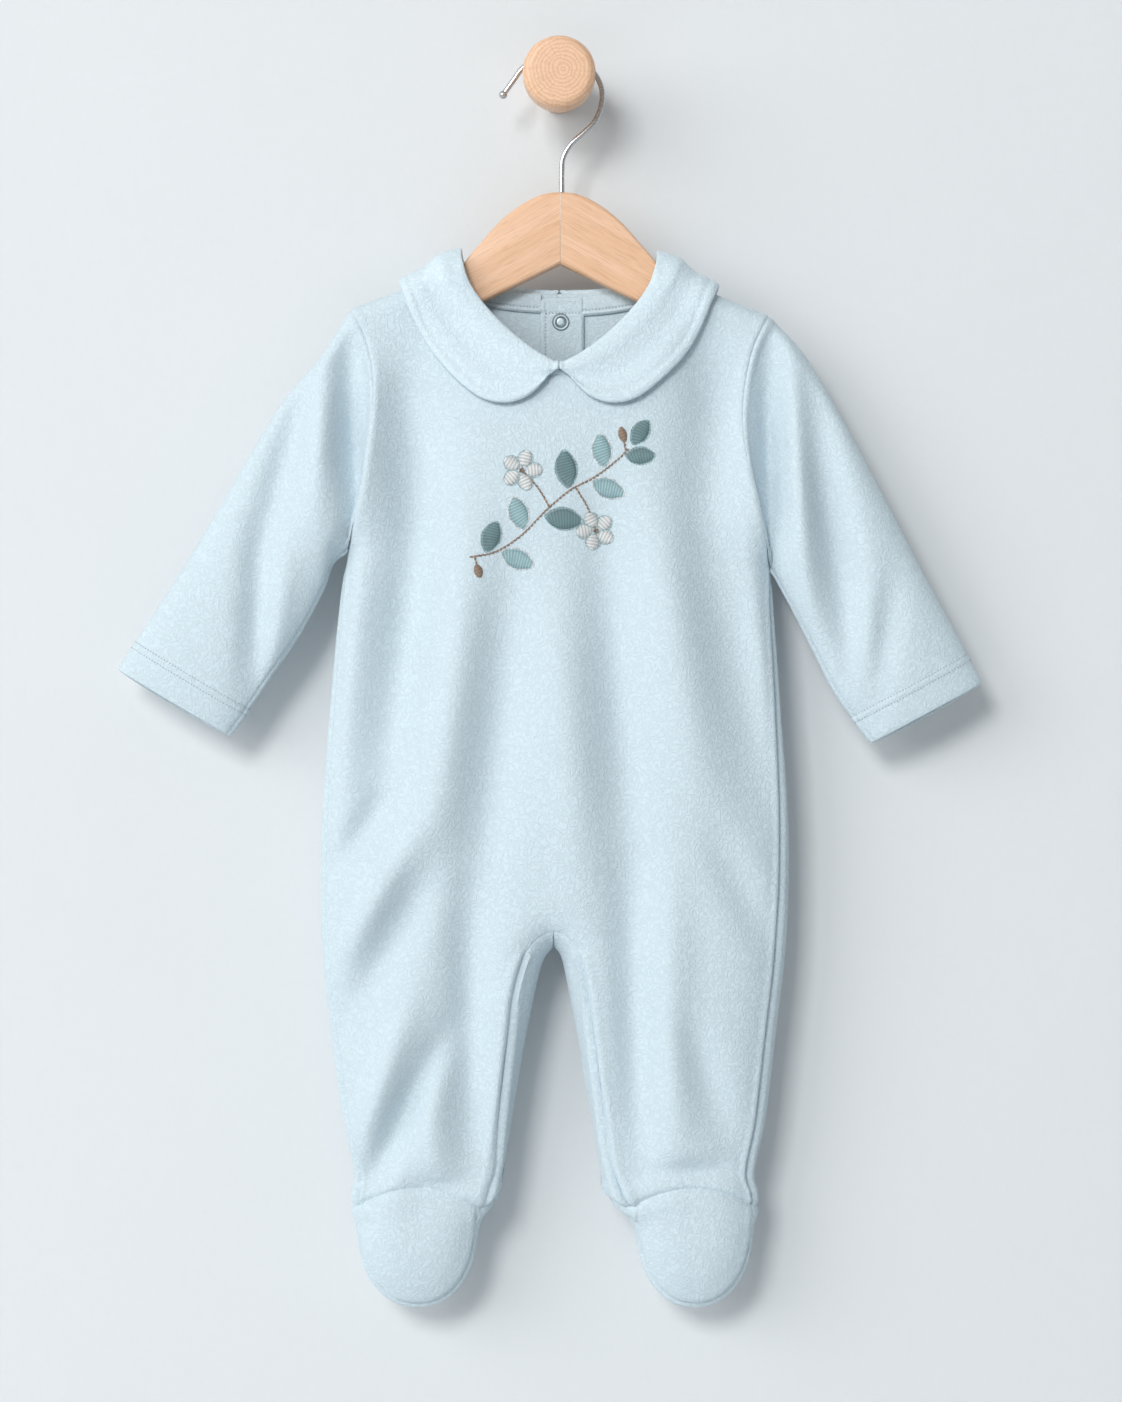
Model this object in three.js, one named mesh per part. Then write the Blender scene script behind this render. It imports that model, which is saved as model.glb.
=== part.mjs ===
// Footed baby jumpsuit on a child's wooden hanger, whose wire hook rests on the neck of a
// round wooden peg fixed to a wall.
//
// Millimetres. +Z is up, +X is to the right of someone facing the garment, and the wall is the
// plane y = 0 with everything in front of it at negative y. The origin is the centre of the
// peg's flat back face. "left" and "right" below are those of the person facing it.
//
// Every cut piece of cloth is a grid of points on the garment's outer surface. Pieces that meet
// at a seam share the seam's points and the directions in which the cloth is thick, and each
// is drawn back a little from the seam, which leaves a thin even gap.

import * as THREE from 'three';

// ---------------------------------------------------------------- driving dimensions

const CLOTH_WALL = 1.6;        // thickness of the brushed knit
const SEAM_PULL = 0.17;        // how far each piece is drawn back from a seam
const LAY_GAP = 0.35;          // space under a piece that lies on another
const MID_Y = -30;             // plane of the hanger, the hook and the side seams

const SHOULDER = {
  tipX: 113.5, tipZ: -124.3,   // outer end of the shoulder seam
  slope: 0.39,                 // rise of the seam for each millimetre towards the neck
  crown: 20,                   // rounding of the two slopes into each other
  tilt: -0.015,                // the right shoulder hangs a little lower
  ridge: 10,                   // radius of the cloth over the hanger
  settle: 120,                 // fall over which the cloth reaches its full depth
  neckLift: 4.6, liftFrom: 88, liftTo: 58,
};

const NECK = {
  half: 57.5,                  // half width of the neck hole on the shoulder line
  frontFall: 58, frontShape: 1.32,
  backFall: 15, backShape: 2.2,
};

// The body's outline and depth, from the underarm to the ankle.
//   left, right   outer edge on each side
//   seamL, seamR  how far in front of that edge, across, the side seam lies
//   front, back   full depth before and behind the middle plane
//   edge          width over which the depth builds up from the outer edge
const TRUNK = [
  { z: -253, left: -113.4, right: 112.8, seamL: 0.0, seamR: 0.0, front: 23.0, back: 16, edge: 66 },
  { z: -280, left: -117.4, right: 114.6, seamL: 0.8, seamR: 1.2, front: 24.0, back: 17, edge: 66 },
  { z: -334, left: -122.7, right: 119.1, seamL: 1.6, seamR: 2.6, front: 25.5, back: 18, edge: 64 },
  { z: -400, left: -127.8, right: 123.7, seamL: 2.6, seamR: 4.4, front: 25.0, back: 18, edge: 56 },
  { z: -460, left: -128.2, right: 122.8, seamL: 3.0, seamR: 5.4, front: 23.5, back: 18, edge: 46 },
  { z: -517, left: -122.7, right: 116.6, seamL: 3.0, seamR: 5.4, front: 21.5, back: 17, edge: 42 },
  { z: -561, left: -116.2, right: 111.2, seamL: 3.0, seamR: 5.0, front: 19.5, back: 16, edge: 40 },
  { z: -588, left: -110.8, right: 105.6, seamL: 3.0, seamR: 4.2, front: 18.0, back: 15, edge: 38 },
  { z: -600, left: -111.2, right: 106.2, seamL: 3.6, seamR: 3.0, front: 17.5, back: 15, edge: 37 },
  { z: -609, left: -112.4, right: 107.4, seamL: 3.9, seamR: 2.6, front: 17.0, back: 15, edge: 36 },
  { z: -625, left: -110.0, right: 105.0, seamL: 3.9, seamR: 2.6, front: 17.0, back: 15, edge: 36 },
];

// The fork between the legs: the inner edge of each leg, from the crotch to the ankle.
const FORK = [
  { z: -467.0, left: -3.0, right: -3.0 },
  { z: -470.5, left: -6.2, right: 0.2 },
  { z: -475.0, left: -8.8, right: 1.9 },
  { z: -485.0, left: -11.7, right: 4.0 },
  { z: -496.0, left: -14.0, right: 6.1 },
  { z: -517.5, left: -18.4, right: 10.3 },
  { z: -539.0, left: -22.1, right: 13.7 },
  { z: -561.0, left: -25.8, right: 17.8 },
  { z: -582.0, left: -29.0, right: 21.1 },
  { z: -595.0, left: -31.6, right: 23.6 },
  { z: -603.0, left: -34.6, right: 26.6 },
  { z: -612.0, left: -40.0, right: 33.0 },
  { z: -625.0, left: -44.0, right: 41.0 },
];
const FORK_EDGE = 36;          // width over which the depth builds up from the fork

// The armhole seam: share of the way down from shoulder to underarm, distance from the centre.
const ARMHOLE = [
  { down: 0.00, left: 112.6, right: 113.3 },
  { down: 0.13, left: 104.2, right: 104.8 },
  { down: 0.30, left: 100.0, right: 99.8 },
  { down: 0.45, left: 100.3, right: 99.3 },
  { down: 0.65, left: 103.6, right: 103.4 },
  { down: 0.78, left: 106.8, right: 107.9 },
  { down: 0.90, left: 111.0, right: 111.6 },
  { down: 1.00, left: 113.4, right: 113.3 },
];
const UNDERARM = { left: -253.4, right: -262.0 };
const UNDERARM_EASE = 12;      // how softly the body opens out into the sleeve above it
const BACK_ARMHOLE_OUT = 3;    // the back armhole is scooped less

// Rows of the trunk grids below the chest: height at the outer edge and on the centre line.
// The back's last two ends pass under the crotch to the front.
const TRUNK_ROWS = [
  { outer: -284, front: -285.0, back: -285.0 },
  { outer: -314, front: -315.0, back: -315.0 },
  { outer: -344, front: -345.0, back: -345.0 },
  { outer: -373, front: -374.0, back: -374.0 },
  { outer: -400, front: -401.0, back: -402.0 },
  { outer: -424, front: -424.0, back: -428.0 },
  { outer: -443, front: -442.0, back: -448.0 },
  { outer: -456, front: -452.0, back: -467.0 },
];
const CHEST_Z = -258;

// Rows of the leg grids: height at the outer edge and at the fork, the inseam's point on the
// front (height, then across for each leg), and how far the row rises in its middle.
const LEG_ROWS = [
  { outer: -465.0, fork: -470.5, seam: -457.6, left: -3.0, right: -3.0, rise: 0.0 },
  { outer: -473.0, fork: -475.0, seam: -459.2, left: -9.0, right: 2.8, rise: 0.0 },
  { outer: -481.0, fork: -480.5, seam: -463.6, left: -14.8, right: 7.4, rise: 0.0 },
  { outer: -490.0, fork: -488.0, seam: -474.0, left: -19.8, right: 11.8, rise: 0.0 },
  { outer: -501.0, fork: -500.0, seam: -491.6, left: -24.3, right: 15.4, rise: 0.0 },
  { outer: -518.0, fork: -517.0, seam: -513.2, left: -26.9, right: 17.8, rise: 0.0 },
  { outer: -543.0, fork: -542.5, seam: -541.3, left: -29.9, right: 21.3, rise: 0.0 },
  { outer: -568.0, fork: -568.0, seam: -568.0, left: -32.4, right: 24.8, rise: 1.5 },
  { outer: -588.0, fork: -587.0, seam: -589.0, left: -35.0, right: 29.0, rise: 5.0 },
  { outer: -607.0, fork: -603.0, seam: -608.0, left: -41.6, right: 37.8, rise: 9.5 },
];
const HEEL_RISE = 0.35;        // the heel seam rises by this share of the ankle seam's rise

// Sleeves: the top and bottom edge of the flat sleeve at stations from armhole to cuff, and
// its depth before and behind the middle plane.
const SLEEVE = {
  left: [
    { s: 0.00, topX: -112.6, topZ: -123.3, lowX: -113.4, lowZ: -253.4, front: 21, back: 17 },
    { s: 0.13, topX: -129.1, topZ: -149.0, lowX: -121.6, lowZ: -260.4, front: 19, back: 17 },
    { s: 0.28, topX: -149.0, topZ: -172.8, lowX: -127.0, lowZ: -274.6, front: 18, back: 17 },
    { s: 0.48, topX: -174.6, topZ: -215.1, lowX: -140.9, lowZ: -300.5, front: 17, back: 16 },
    { s: 0.68, topX: -199.6, topZ: -257.3, lowX: -156.6, lowZ: -323.1, front: 16, back: 15 },
    { s: 0.86, topX: -220.8, topZ: -290.6, lowX: -168.4, lowZ: -340.5, front: 14, back: 13 },
    { s: 1.00, topX: -238.1, topZ: -316.6, lowX: -177.1, lowZ: -352.8, front: 11, back: 12 },
  ],
  right: [
    { s: 0.00, topX: 113.3, topZ: -126.7, lowX: 113.3, lowZ: -262.0, front: 21, back: 17 },
    { s: 0.13, topX: 131.6, topZ: -146.6, lowX: 118.9, lowZ: -272.5, front: 19, back: 17 },
    { s: 0.28, topX: 150.4, topZ: -177.8, lowX: 125.6, lowZ: -285.2, front: 18, back: 17 },
    { s: 0.48, topX: 175.0, topZ: -223.8, lowX: 136.6, lowZ: -307.0, front: 17, back: 16 },
    { s: 0.68, topX: 197.6, topZ: -267.4, lowX: 147.2, lowZ: -328.0, front: 16, back: 15 },
    { s: 0.86, topX: 214.8, topZ: -299.0, lowX: 158.0, lowZ: -343.6, front: 14, back: 13 },
    { s: 1.00, topX: 227.9, topZ: -324.2, lowX: 167.9, lowZ: -356.6, front: 11, back: 12 },
  ],
};
const SLEEVE_RINGS = 11;
const SLEEVE_SETTLE = 0.35;    // share of the sleeve in which the armhole's shape fades out

// Feet: a rounded cap hanging from the ankle, the toe pointing down.
const FOOT = {
  left: { x: -76.5, half: 33.2 },
  right: { x: 74.0, half: 31.8 },
};
const FOOT_TOP = -613.5;
const FOOT_DROP = 47.8;
const FOOT_SHAPE = 2.15;
const FOOT_DEPTH = { front: 17, back: 15, edge: 30 };
// Rows of the foot grids: degrees round the toe at the row's ends, and how far in front of
// the outline, across, the upper's seam lies.
const FOOT_ROWS = [
  { turn: 4, seam: 2.6 },
  { turn: 17, seam: 1.4 },
  { turn: 31, seam: 0.5 },
  { turn: 45, seam: 0 },
  { turn: 57, seam: 0 },
  { turn: 68, seam: 0 },
];

// The large soft folds of the body: a trough (negative) or a ridge along a line from one point
// to the other, with its half width. "face" is 1 on the front and -1 on the back.
const BODY_FOLDS = [
  { face: 1, x1: -84, z1: -280, x2: -104, z2: -400, wide: 17, deep: -3.2 },
  { face: 1, x1: -24, z1: -230, x2: -8, z2: -330, wide: 24, deep: 1.8 },
  { face: 1, x1: 30, z1: -215, x2: 46, z2: -300, wide: 17, deep: -1.8 },
  { face: 1, x1: 98, z1: -270, x2: 98, z2: -440, wide: 15, deep: -3.0 },
  { face: 1, x1: -48, z1: -440, x2: -103, z2: -585, wide: 11, deep: -3.4 },
  { face: 1, x1: -66, z1: -480, x2: -74, z2: -560, wide: 15, deep: 2.2 },
  { face: 1, x1: 76, z1: -440, x2: 90, z2: -552, wide: 12, deep: -3.0 },
  { face: 1, x1: 34, z1: -500, x2: 46, z2: -590, wide: 10, deep: -2.6 },
  { face: -1, x1: -70, z1: -290, x2: -92, z2: -430, wide: 18, deep: -2.2 },
  { face: -1, x1: 66, z1: -270, x2: 88, z2: -420, wide: 18, deep: -2.2 },
  { face: -1, x1: -50, z1: -470, x2: -84, z2: -580, wide: 12, deep: -2.2 },
  { face: -1, x1: 48, z1: -470, x2: 76, z2: -578, wide: 12, deep: -2.2 },
];

// The sleeves' folds, by share of length s and position across (-1 top edge, 1 bottom edge).
const SLEEVE_FOLDS = {
  left: [
    { face: 1, s1: 0.03, a1: -0.45, s2: 0.22, a2: 0.6, wide: 0.2, deep: -3.6 },
    { face: 1, s1: 0.5, a1: 0.1, s2: 0.9, a2: 0.75, wide: 0.24, deep: -3.0 },
    { face: -1, s1: 0.1, a1: -0.2, s2: 0.5, a2: 0.5, wide: 0.3, deep: -2.2 },
  ],
  right: [
    { face: 1, s1: 0.05, a1: -0.25, s2: 0.16, a2: 0.75, wide: 0.2, deep: -4.0 },
    { face: 1, s1: 0.55, a1: 0.15, s2: 0.93, a2: 0.7, wide: 0.24, deep: -2.8 },
    { face: -1, s1: 0.1, a1: -0.2, s2: 0.5, a2: 0.5, wide: 0.3, deep: -2.2 },
  ],
};

// Collar leaf: outer edge from the centre front over the shoulder to the centre back. "round" is
// the share of the way along the leaf, z the height, and face 1 front, 0 shoulder line, -1 back.
const COLLAR_EDGE = [
  { round: 0.00, across: 3.4, z: -160.4, face: 1 },
  { round: 0.06, across: 9.0, z: -167.0, face: 1 },
  { round: 0.13, across: 17.4, z: -172.6, face: 1 },
  { round: 0.21, across: 28.0, z: -174.8, face: 1 },
  { round: 0.29, across: 40.0, z: -172.2, face: 1 },
  { round: 0.37, across: 51.6, z: -163.6, face: 1 },
  { round: 0.45, across: 62.8, z: -151.4, face: 1 },
  { round: 0.53, across: 73.6, z: -135.4, face: 1 },
  { round: 0.60, across: 80.6, z: -120.0, face: 1 },
  { round: 0.65, across: 83.2, z: 0, face: 0 },
  { round: 0.70, across: 81.0, z: -121.0, face: -1 },
  { round: 0.77, across: 72.0, z: -138.0, face: -1 },
  { round: 0.84, across: 57.0, z: -149.5, face: -1 },
  { round: 0.91, across: 38.0, z: -154.0, face: -1 },
  { round: 0.96, across: 19.0, z: -150.5, face: -1 },
  { round: 1.00, across: 7.0, z: -139.0, face: -1 },
];
const COLLAR = {
  leaf: 2.4,                   // two layers of cloth turned and pressed
  neckShare: 0.65,             // where along the leaf the shoulder line crosses the neck
  ends: 0.7,                   // half the space between the leaves at both centres
  frontClear: 0.3,             // extra room where the neck edge turns sharply at the front
  rollFront: 3.9, rollSide: 8.2, rollBack: 6.0,
  edgeLift: 3.0, ridgeLift: 1.6, backLift: 2.4,
  columns: 4,
  rounds: [[0, 0.56, 9], [0.56, 0.74, 6], [0.74, 1, 5]],   // rows: from, to, how many
  // The stand's outer and inner points: distance towards the neck hole, height over the seam,
  // and 1 where that height is counted from the top of the roll.
  stand: [
    { hole: 2.7, up: -0.8, rolled: 0, within: 0.7, below: -0.8 },
    { hole: 2.8, up: -1.5, rolled: 1, within: 0.6, below: -3.3 },
    { hole: 1.5, up: -0.3, rolled: 1, within: 0.3, below: -2.5 },
  ],
};

const BINDING = { wide: 9.5, thick: 0.9, outer: 47 };
const PLACKET = { left: -9.7, right: 13.0, top: -116.2, bottom: -392, thick: 1.1 };
const SNAP = { x: 0.8, top: -128.6, pitch: 61, count: 5, radius: 4.75, thick: 1.2, bore: 2.3 };

// "under" is the space below the shoulder seam, and "neck" where the arm leaves the neck hole.
const HANGER = { x: 0.6, half: 5.2, chamfer: 2.8, under: 4.8, mitre: 0.16, neck: 52 };
// Hanger arm: distance from the middle, top and underside. Past the neck the top follows the
// shoulder seam instead.
const ARM = [
  { out: 0.0, top: -60.1, under: -99.0 },
  { out: 7.0, top: -60.7, under: -102.4 },
  { out: 14.0, top: -63.0, under: -105.8 },
  { out: 23.0, top: -68.2, under: -110.2 },
  { out: 33.0, top: -76.4, under: -115.1 },
  { out: 43.5, top: -88.2, under: -120.2 },
  { out: 51.0, top: -97.0, under: -123.9 },
  { out: 53.4, top: -101.6, under: -125.1 },
  { out: 58.0, top: -104.0, under: -127.3 },
  { out: 66.0, top: -106.0, under: -131.2 },
  { out: 76.0, top: -110.0, under: -135.8 },
  { out: 86.0, top: -114.0, under: -139.6 },
  { out: 94.0, top: -118.0, under: -141.0 },
  { out: 99.0, top: -124.0, under: -139.0 },
  { out: 101.5, top: -128.5, under: -134.0 },
];

const WIRE_RADIUS = 1.5;
const BALL_RADIUS = 2.3;
const PEG = { neck: 12, disc: 19.4, discBack: -42, front: -62, bevel: 2.6 };
// The hook's wire, from the wood up, round over the peg's neck and down to its ball end.
const HOOK = [
  [1.4, -59.7], [1.4, -48], [2.2, -41], [6.2, -34], [12.6, -28.2], [18.4, -22.6],
  [22.4, -14.2], [23.2, -5], [19.8, 3.4], [13.2, 9.8], [4.6, 13.4], [-4.4, 13.8],
  [-13.2, 11.8], [-20, 7], [-25, 0.2], [-29.2, -5.6],
];

const COLOURS = {
  cloth: { color: 0xcde1e8, roughness: 0.95, metalness: 0 },
  wood: { color: 0xe3b889, roughness: 0.6, metalness: 0 },
  steel: { color: 0xb9bcc0, roughness: 0.3, metalness: 1 },
};

// ---------------------------------------------------------------- small helpers

const lerp = (a, b, t) => a + (b - a) * t;
const clamp = (v, low, high) => Math.min(high, Math.max(low, v));
const spread = (from, to, count) =>
  Array.from({ length: count + 1 }, (_, i) => lerp(from, to, i / count));
const smooth = (t) => { const c = clamp(t, 0, 1); return c * c * (3 - 2 * c); };
const sideSign = (side) => (side === 'left' ? -1 : 1);
const add = (p, d, t) => [p[0] + d[0] * t, p[1] + d[1] * t, p[2] + d[2] * t];
const sub = (a, b) => [a[0] - b[0], a[1] - b[1], a[2] - b[2]];
const dot = (a, b) => a[0] * b[0] + a[1] * b[1] + a[2] * b[2];
const cross = (a, b) => [
  a[1] * b[2] - a[2] * b[1], a[2] * b[0] - a[0] * b[2], a[0] * b[1] - a[1] * b[0],
];
const unit = (v) => { const l = Math.hypot(...v) || 1; return [v[0] / l, v[1] / l, v[2] / l]; };

// A smooth curve through one column of a table, read at a value of its key column.
function track(rows, key, column, at) {
  const last = rows.length - 1;
  const way = Math.sign(rows[last][key] - rows[0][key]);
  let i = 0;
  while (i < last - 1 && way * (at - rows[i + 1][key]) > 0) i += 1;
  const slope = (a, b) => (rows[b][column] - rows[a][column]) / (rows[b][key] - rows[a][key]);
  const span = rows[i + 1][key] - rows[i][key];
  const t = clamp((at - rows[i][key]) / span, 0, 1);
  const start = slope(Math.max(i - 1, 0), i + 1) * span;
  const end = slope(i, Math.min(i + 2, last)) * span;
  const rise = rows[i + 1][column] - rows[i][column];
  return rows[i][column] + start * t + (3 * rise - 2 * start - end) * t * t
    + (start + end - 2 * rise) * t * t * t;
}

// Distance from a point to a segment, and how far along the segment it lies.
function toSegment(x, z, x1, z1, x2, z2) {
  const dx = x2 - x1;
  const dz = z2 - z1;
  const t = clamp(((x - x1) * dx + (z - z1) * dz) / (dx * dx + dz * dz), 0, 1);
  return { away: Math.hypot(x - x1 - dx * t, z - z1 - dz * t), t };
}

// How full the garment is at a share q of the way in from an edge: 0 on the edge, then 1.
const fullness = (q) => Math.pow(1 - Math.pow(1 - clamp(q, 0, 1), 2.4), 1 / 1.9);

// ---------------------------------------------------------------- the body's surface

// Height of the shoulder line over a point across.
function ridgeZ(x) {
  const run = SHOULDER.tipX - Math.hypot(x, SHOULDER.crown);
  const lift = smooth((SHOULDER.liftFrom - Math.abs(x)) / (SHOULDER.liftFrom - SHOULDER.liftTo));
  return SHOULDER.tipZ + SHOULDER.slope * run + SHOULDER.tilt * x + SHOULDER.neckLift * lift;
}

// The outer edge of the body. Above the underarm it opens out into the sleeve.
function edgeX(side, z) {
  const low = Math.min(z, UNDERARM[side]);
  const above = z - low;
  return track(TRUNK, 'z', side, low) + sideSign(side) * (above ** 2 / (above + UNDERARM_EASE));
}

const seamIn = (side, z) => track(TRUNK, 'z', side === 'left' ? 'seamL' : 'seamR', z);
const centreX = (z) => lerp(0, -3, clamp((-155 - z) / 305, 0, 1));

function forkDistance(x, z) {
  let nearest = Infinity;
  for (const side of ['left', 'right']) {
    for (let i = 1; i < FORK.length; i += 1) {
      const a = FORK[i - 1];
      const b = FORK[i];
      nearest = Math.min(nearest, toSegment(x, z, a[side], a.z, b[side], b.z).away);
    }
  }
  return nearest;
}

function foldHeight(x, z, face) {
  let sum = 0;
  for (const fold of BODY_FOLDS) {
    if (fold.face !== face) continue;
    const { away, t } = toSegment(x, z, fold.x1, fold.z1, fold.x2, fold.z2);
    sum += fold.deep * Math.exp(-((away / fold.wide) ** 2)) * (0.55 + 0.45 * Math.sin(Math.PI * t));
  }
  return sum;
}

// Depth of the cloth before (face 1) or behind (face -1) the middle plane.
function bodyDepth(x, z, face) {
  const full = track(TRUNK, 'z', face > 0 ? 'front' : 'back', z);
  const edge = track(TRUNK, 'z', 'edge', z);
  const fall = Math.max(ridgeZ(x) - z, 0);
  const round = SHOULDER.ridge;
  const rolled = Math.sqrt(Math.max(round ** 2 - Math.max(round - fall, 0) ** 2, 0));
  const hung = rolled + (full - round) * smooth((fall - round) / SHOULDER.settle);
  const sides = fullness((x - edgeX('left', z)) / edge) * fullness((edgeX('right', z) - x) / edge);
  const fork = fullness(forkDistance(x, z) / FORK_EDGE);
  return (hung + foldHeight(x, z, face) * smooth(fall / 60)) * sides * fork;
}

const bodyPoint = (x, z, face) => [x, MID_Y - face * bodyDepth(x, z, face), z];

// ---------------------------------------------------------------- grids of the cut pieces

const YOKE_ROWS = 9;           // rows from the shoulder and neck to the chest
const SHOULDER_COLUMNS = 4;
const COLUMNS = 11;
const yokeShare = (i) => (1 - Math.cos((Math.PI * i) / YOKE_ROWS)) / 2;

function armholePoint(side, down, face) {
  const sign = sideSign(side);
  const top = track(ARMHOLE, 'down', side, 0) * sign;
  const z = lerp(ridgeZ(top), UNDERARM[side], down);
  const out = face > 0 ? 0 : BACK_ARMHOLE_OUT * Math.sin(Math.PI * down);
  const x = down < 1 ? sign * (track(ARMHOLE, 'down', side, down) + out) : edgeX(side, z);
  return { x, z };
}

// The neck edge: turn 0 on the shoulder line, 1 on the centre line.
function neckPoint(side, turn, face) {
  const shape = face > 0 ? NECK.frontShape : NECK.backShape;
  const fall = face > 0 ? NECK.frontFall : NECK.backFall;
  const angle = (Math.PI / 2) * turn;
  const x = sideSign(side) * NECK.half * Math.pow(Math.max(Math.cos(angle), 0), 2 / shape);
  const level = (ridgeZ(NECK.half) + ridgeZ(-NECK.half)) / 2;
  const start = lerp(ridgeZ(sideSign(side) * NECK.half), level, turn);
  return { x: turn < 1 ? x : 0, z: start - fall * Math.pow(Math.sin(angle), 2 / shape) };
}

function topPoint(side, column, face) {
  if (column <= SHOULDER_COLUMNS) {
    const tip = armholePoint(side, 0, face).x;
    const x = lerp(tip, sideSign(side) * NECK.half, column / SHOULDER_COLUMNS);
    return { x, z: ridgeZ(x) };
  }
  return neckPoint(side, (column - SHOULDER_COLUMNS) / (COLUMNS - SHOULDER_COLUMNS), face);
}

// Share of the way from the outer edge to the inner one; "leg" makes both ends close-set.
function columnShare(u, leg) {
  return lerp(Math.pow(Math.max(u, 0), 1.3), (1 - Math.cos(Math.PI * u)) / 2, leg);
}

// Yoke: a patch between shoulder and neck, armhole, centre line and chest line.
function yokeRow(side, i, face) {
  const v = yokeShare(i);
  const under = armholePoint(side, 1, face);
  const neck = topPoint(side, COLUMNS, face);
  const tip = topPoint(side, 0, face);
  const outer = armholePoint(side, v, face);
  const chest = { x: centreX(CHEST_Z), z: CHEST_Z };
  const inner = { x: lerp(neck.x, chest.x, v), z: lerp(neck.z, chest.z, v) };
  return Array.from({ length: COLUMNS + 1 }, (_, j) => {
    const u = j / COLUMNS;
    const top = topPoint(side, j, face);
    const share = columnShare(u, 0);
    const mix = (name) => {
      const low = lerp(under[name], chest[name], share);
      const shareNow = lerp(u, share, v);
      const corners = (1 - v) * lerp(tip[name], neck[name], shareNow)
        + v * lerp(under[name], chest[name], shareNow);
      return (1 - v) * top[name] + v * low + lerp(outer[name], inner[name], shareNow) - corners;
    };
    if (i === 0) return bodyPoint(top.x, top.z, face);
    if (j === 0) return bodyPoint(outer.x, outer.z, face);
    if (j === COLUMNS) return bodyPoint(inner.x, inner.z, face);
    return bodyPoint(mix('x'), mix('z'), face);
  });
}

function frontTrunkRow(side, row, leg) {
  const sign = sideSign(side);
  const from = edgeX(side, row.outer) - sign * seamIn(side, row.outer);
  const to = centreX(row.front);
  return Array.from({ length: COLUMNS + 1 }, (_, j) => {
    const share = columnShare(j / COLUMNS, leg);
    return bodyPoint(lerp(from, to, share), lerp(row.outer, row.front, share), 1);
  });
}

function frontLegRow(side, row) {
  const sign = sideSign(side);
  const from = edgeX(side, row.outer) - sign * seamIn(side, row.outer);
  return Array.from({ length: COLUMNS + 1 }, (_, j) => {
    const u = j / COLUMNS;
    const share = lerp(u, columnShare(u, 1), 0.7);
    const arch = row.rise * (1 - (2 * share - 1) ** 2);
    return bodyPoint(lerp(from, row[side], share), lerp(row.outer, row.seam, share) + arch, 1);
  });
}

const WRAP = 0.12;             // share of the back's columns that wraps round to the front

// A back row starts on the side seam, rounds the outer edge and runs to its inner end.
function backTrunkRow(side, row, leg) {
  const sign = sideSign(side);
  const edge = edgeX(side, row.outer);
  const inset = seamIn(side, row.outer);
  const wrap = WRAP * Math.sqrt(inset / 4);
  return Array.from({ length: COLUMNS + 1 }, (_, j) => {
    const q = lerp(-wrap, 1, j / COLUMNS);
    if (q < 0) return bodyPoint(edge - sign * inset * (q / wrap) ** 2, row.outer, 1);
    const share = columnShare(q, leg);
    return bodyPoint(lerp(edge, centreX(row.back), share), lerp(row.outer, row.back, share), -1);
  });
}

const INNER_WRAP = 0.2;        // the same share at the inseam

function backLegRow(side, row) {
  const sign = sideSign(side);
  const edge = edgeX(side, row.outer);
  const inset = seamIn(side, row.outer);
  const wrap = WRAP * Math.sqrt(inset / 4);
  const forkX = track(FORK, 'z', side, row.fork);
  return Array.from({ length: COLUMNS + 1 }, (_, j) => {
    const q = lerp(-wrap, 1 + INNER_WRAP, j / COLUMNS);
    if (q < 0) return bodyPoint(edge - sign * inset * (q / wrap) ** 2, row.outer, 1);
    if (q > 1) {
      const share = ((q - 1) / INNER_WRAP) ** 2;
      return bodyPoint(lerp(forkX, row[side], share), lerp(row.fork, row.seam, share), 1);
    }
    const share = columnShare(q, 1);
    const arch = HEEL_RISE * row.rise * (1 - (2 * share - 1) ** 2);
    return bodyPoint(lerp(edge, forkX, share), lerp(row.outer, row.fork, share) + arch, -1);
  });
}

function bodyGrid(side, face) {
  const rows = [];
  for (let i = 0; i <= YOKE_ROWS; i += 1) rows.push(yokeRow(side, i, face));
  TRUNK_ROWS.forEach((row, i) => {
    const leg = (i + 1) / (TRUNK_ROWS.length + 1);
    rows.push(face > 0 ? frontTrunkRow(side, row, leg) : backTrunkRow(side, row, leg));
  });
  for (const row of LEG_ROWS) rows.push(face > 0 ? frontLegRow(side, row) : backLegRow(side, row));
  return rows;
}

// The armhole as a closed loop: down the front to the underarm and up the back.
function armholeLoop(front, back) {
  const loop = [];
  for (let i = 0; i <= YOKE_ROWS; i += 1) loop.push(front[i][0]);
  for (let i = YOKE_ROWS - 1; i > 0; i -= 1) loop.push(back[i][0]);
  return loop;
}

function sleeveFold(side, s, across, face) {
  let sum = 0;
  for (const fold of SLEEVE_FOLDS[side]) {
    if (fold.face !== face) continue;
    const { away } = toSegment(s * 2.6, across, fold.s1 * 2.6, fold.a1, fold.s2 * 2.6, fold.a2);
    sum += fold.deep * Math.exp(-((away / fold.wide) ** 2));
  }
  return sum * smooth(s / 0.06) * smooth((1 - s) / 0.12);
}

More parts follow.
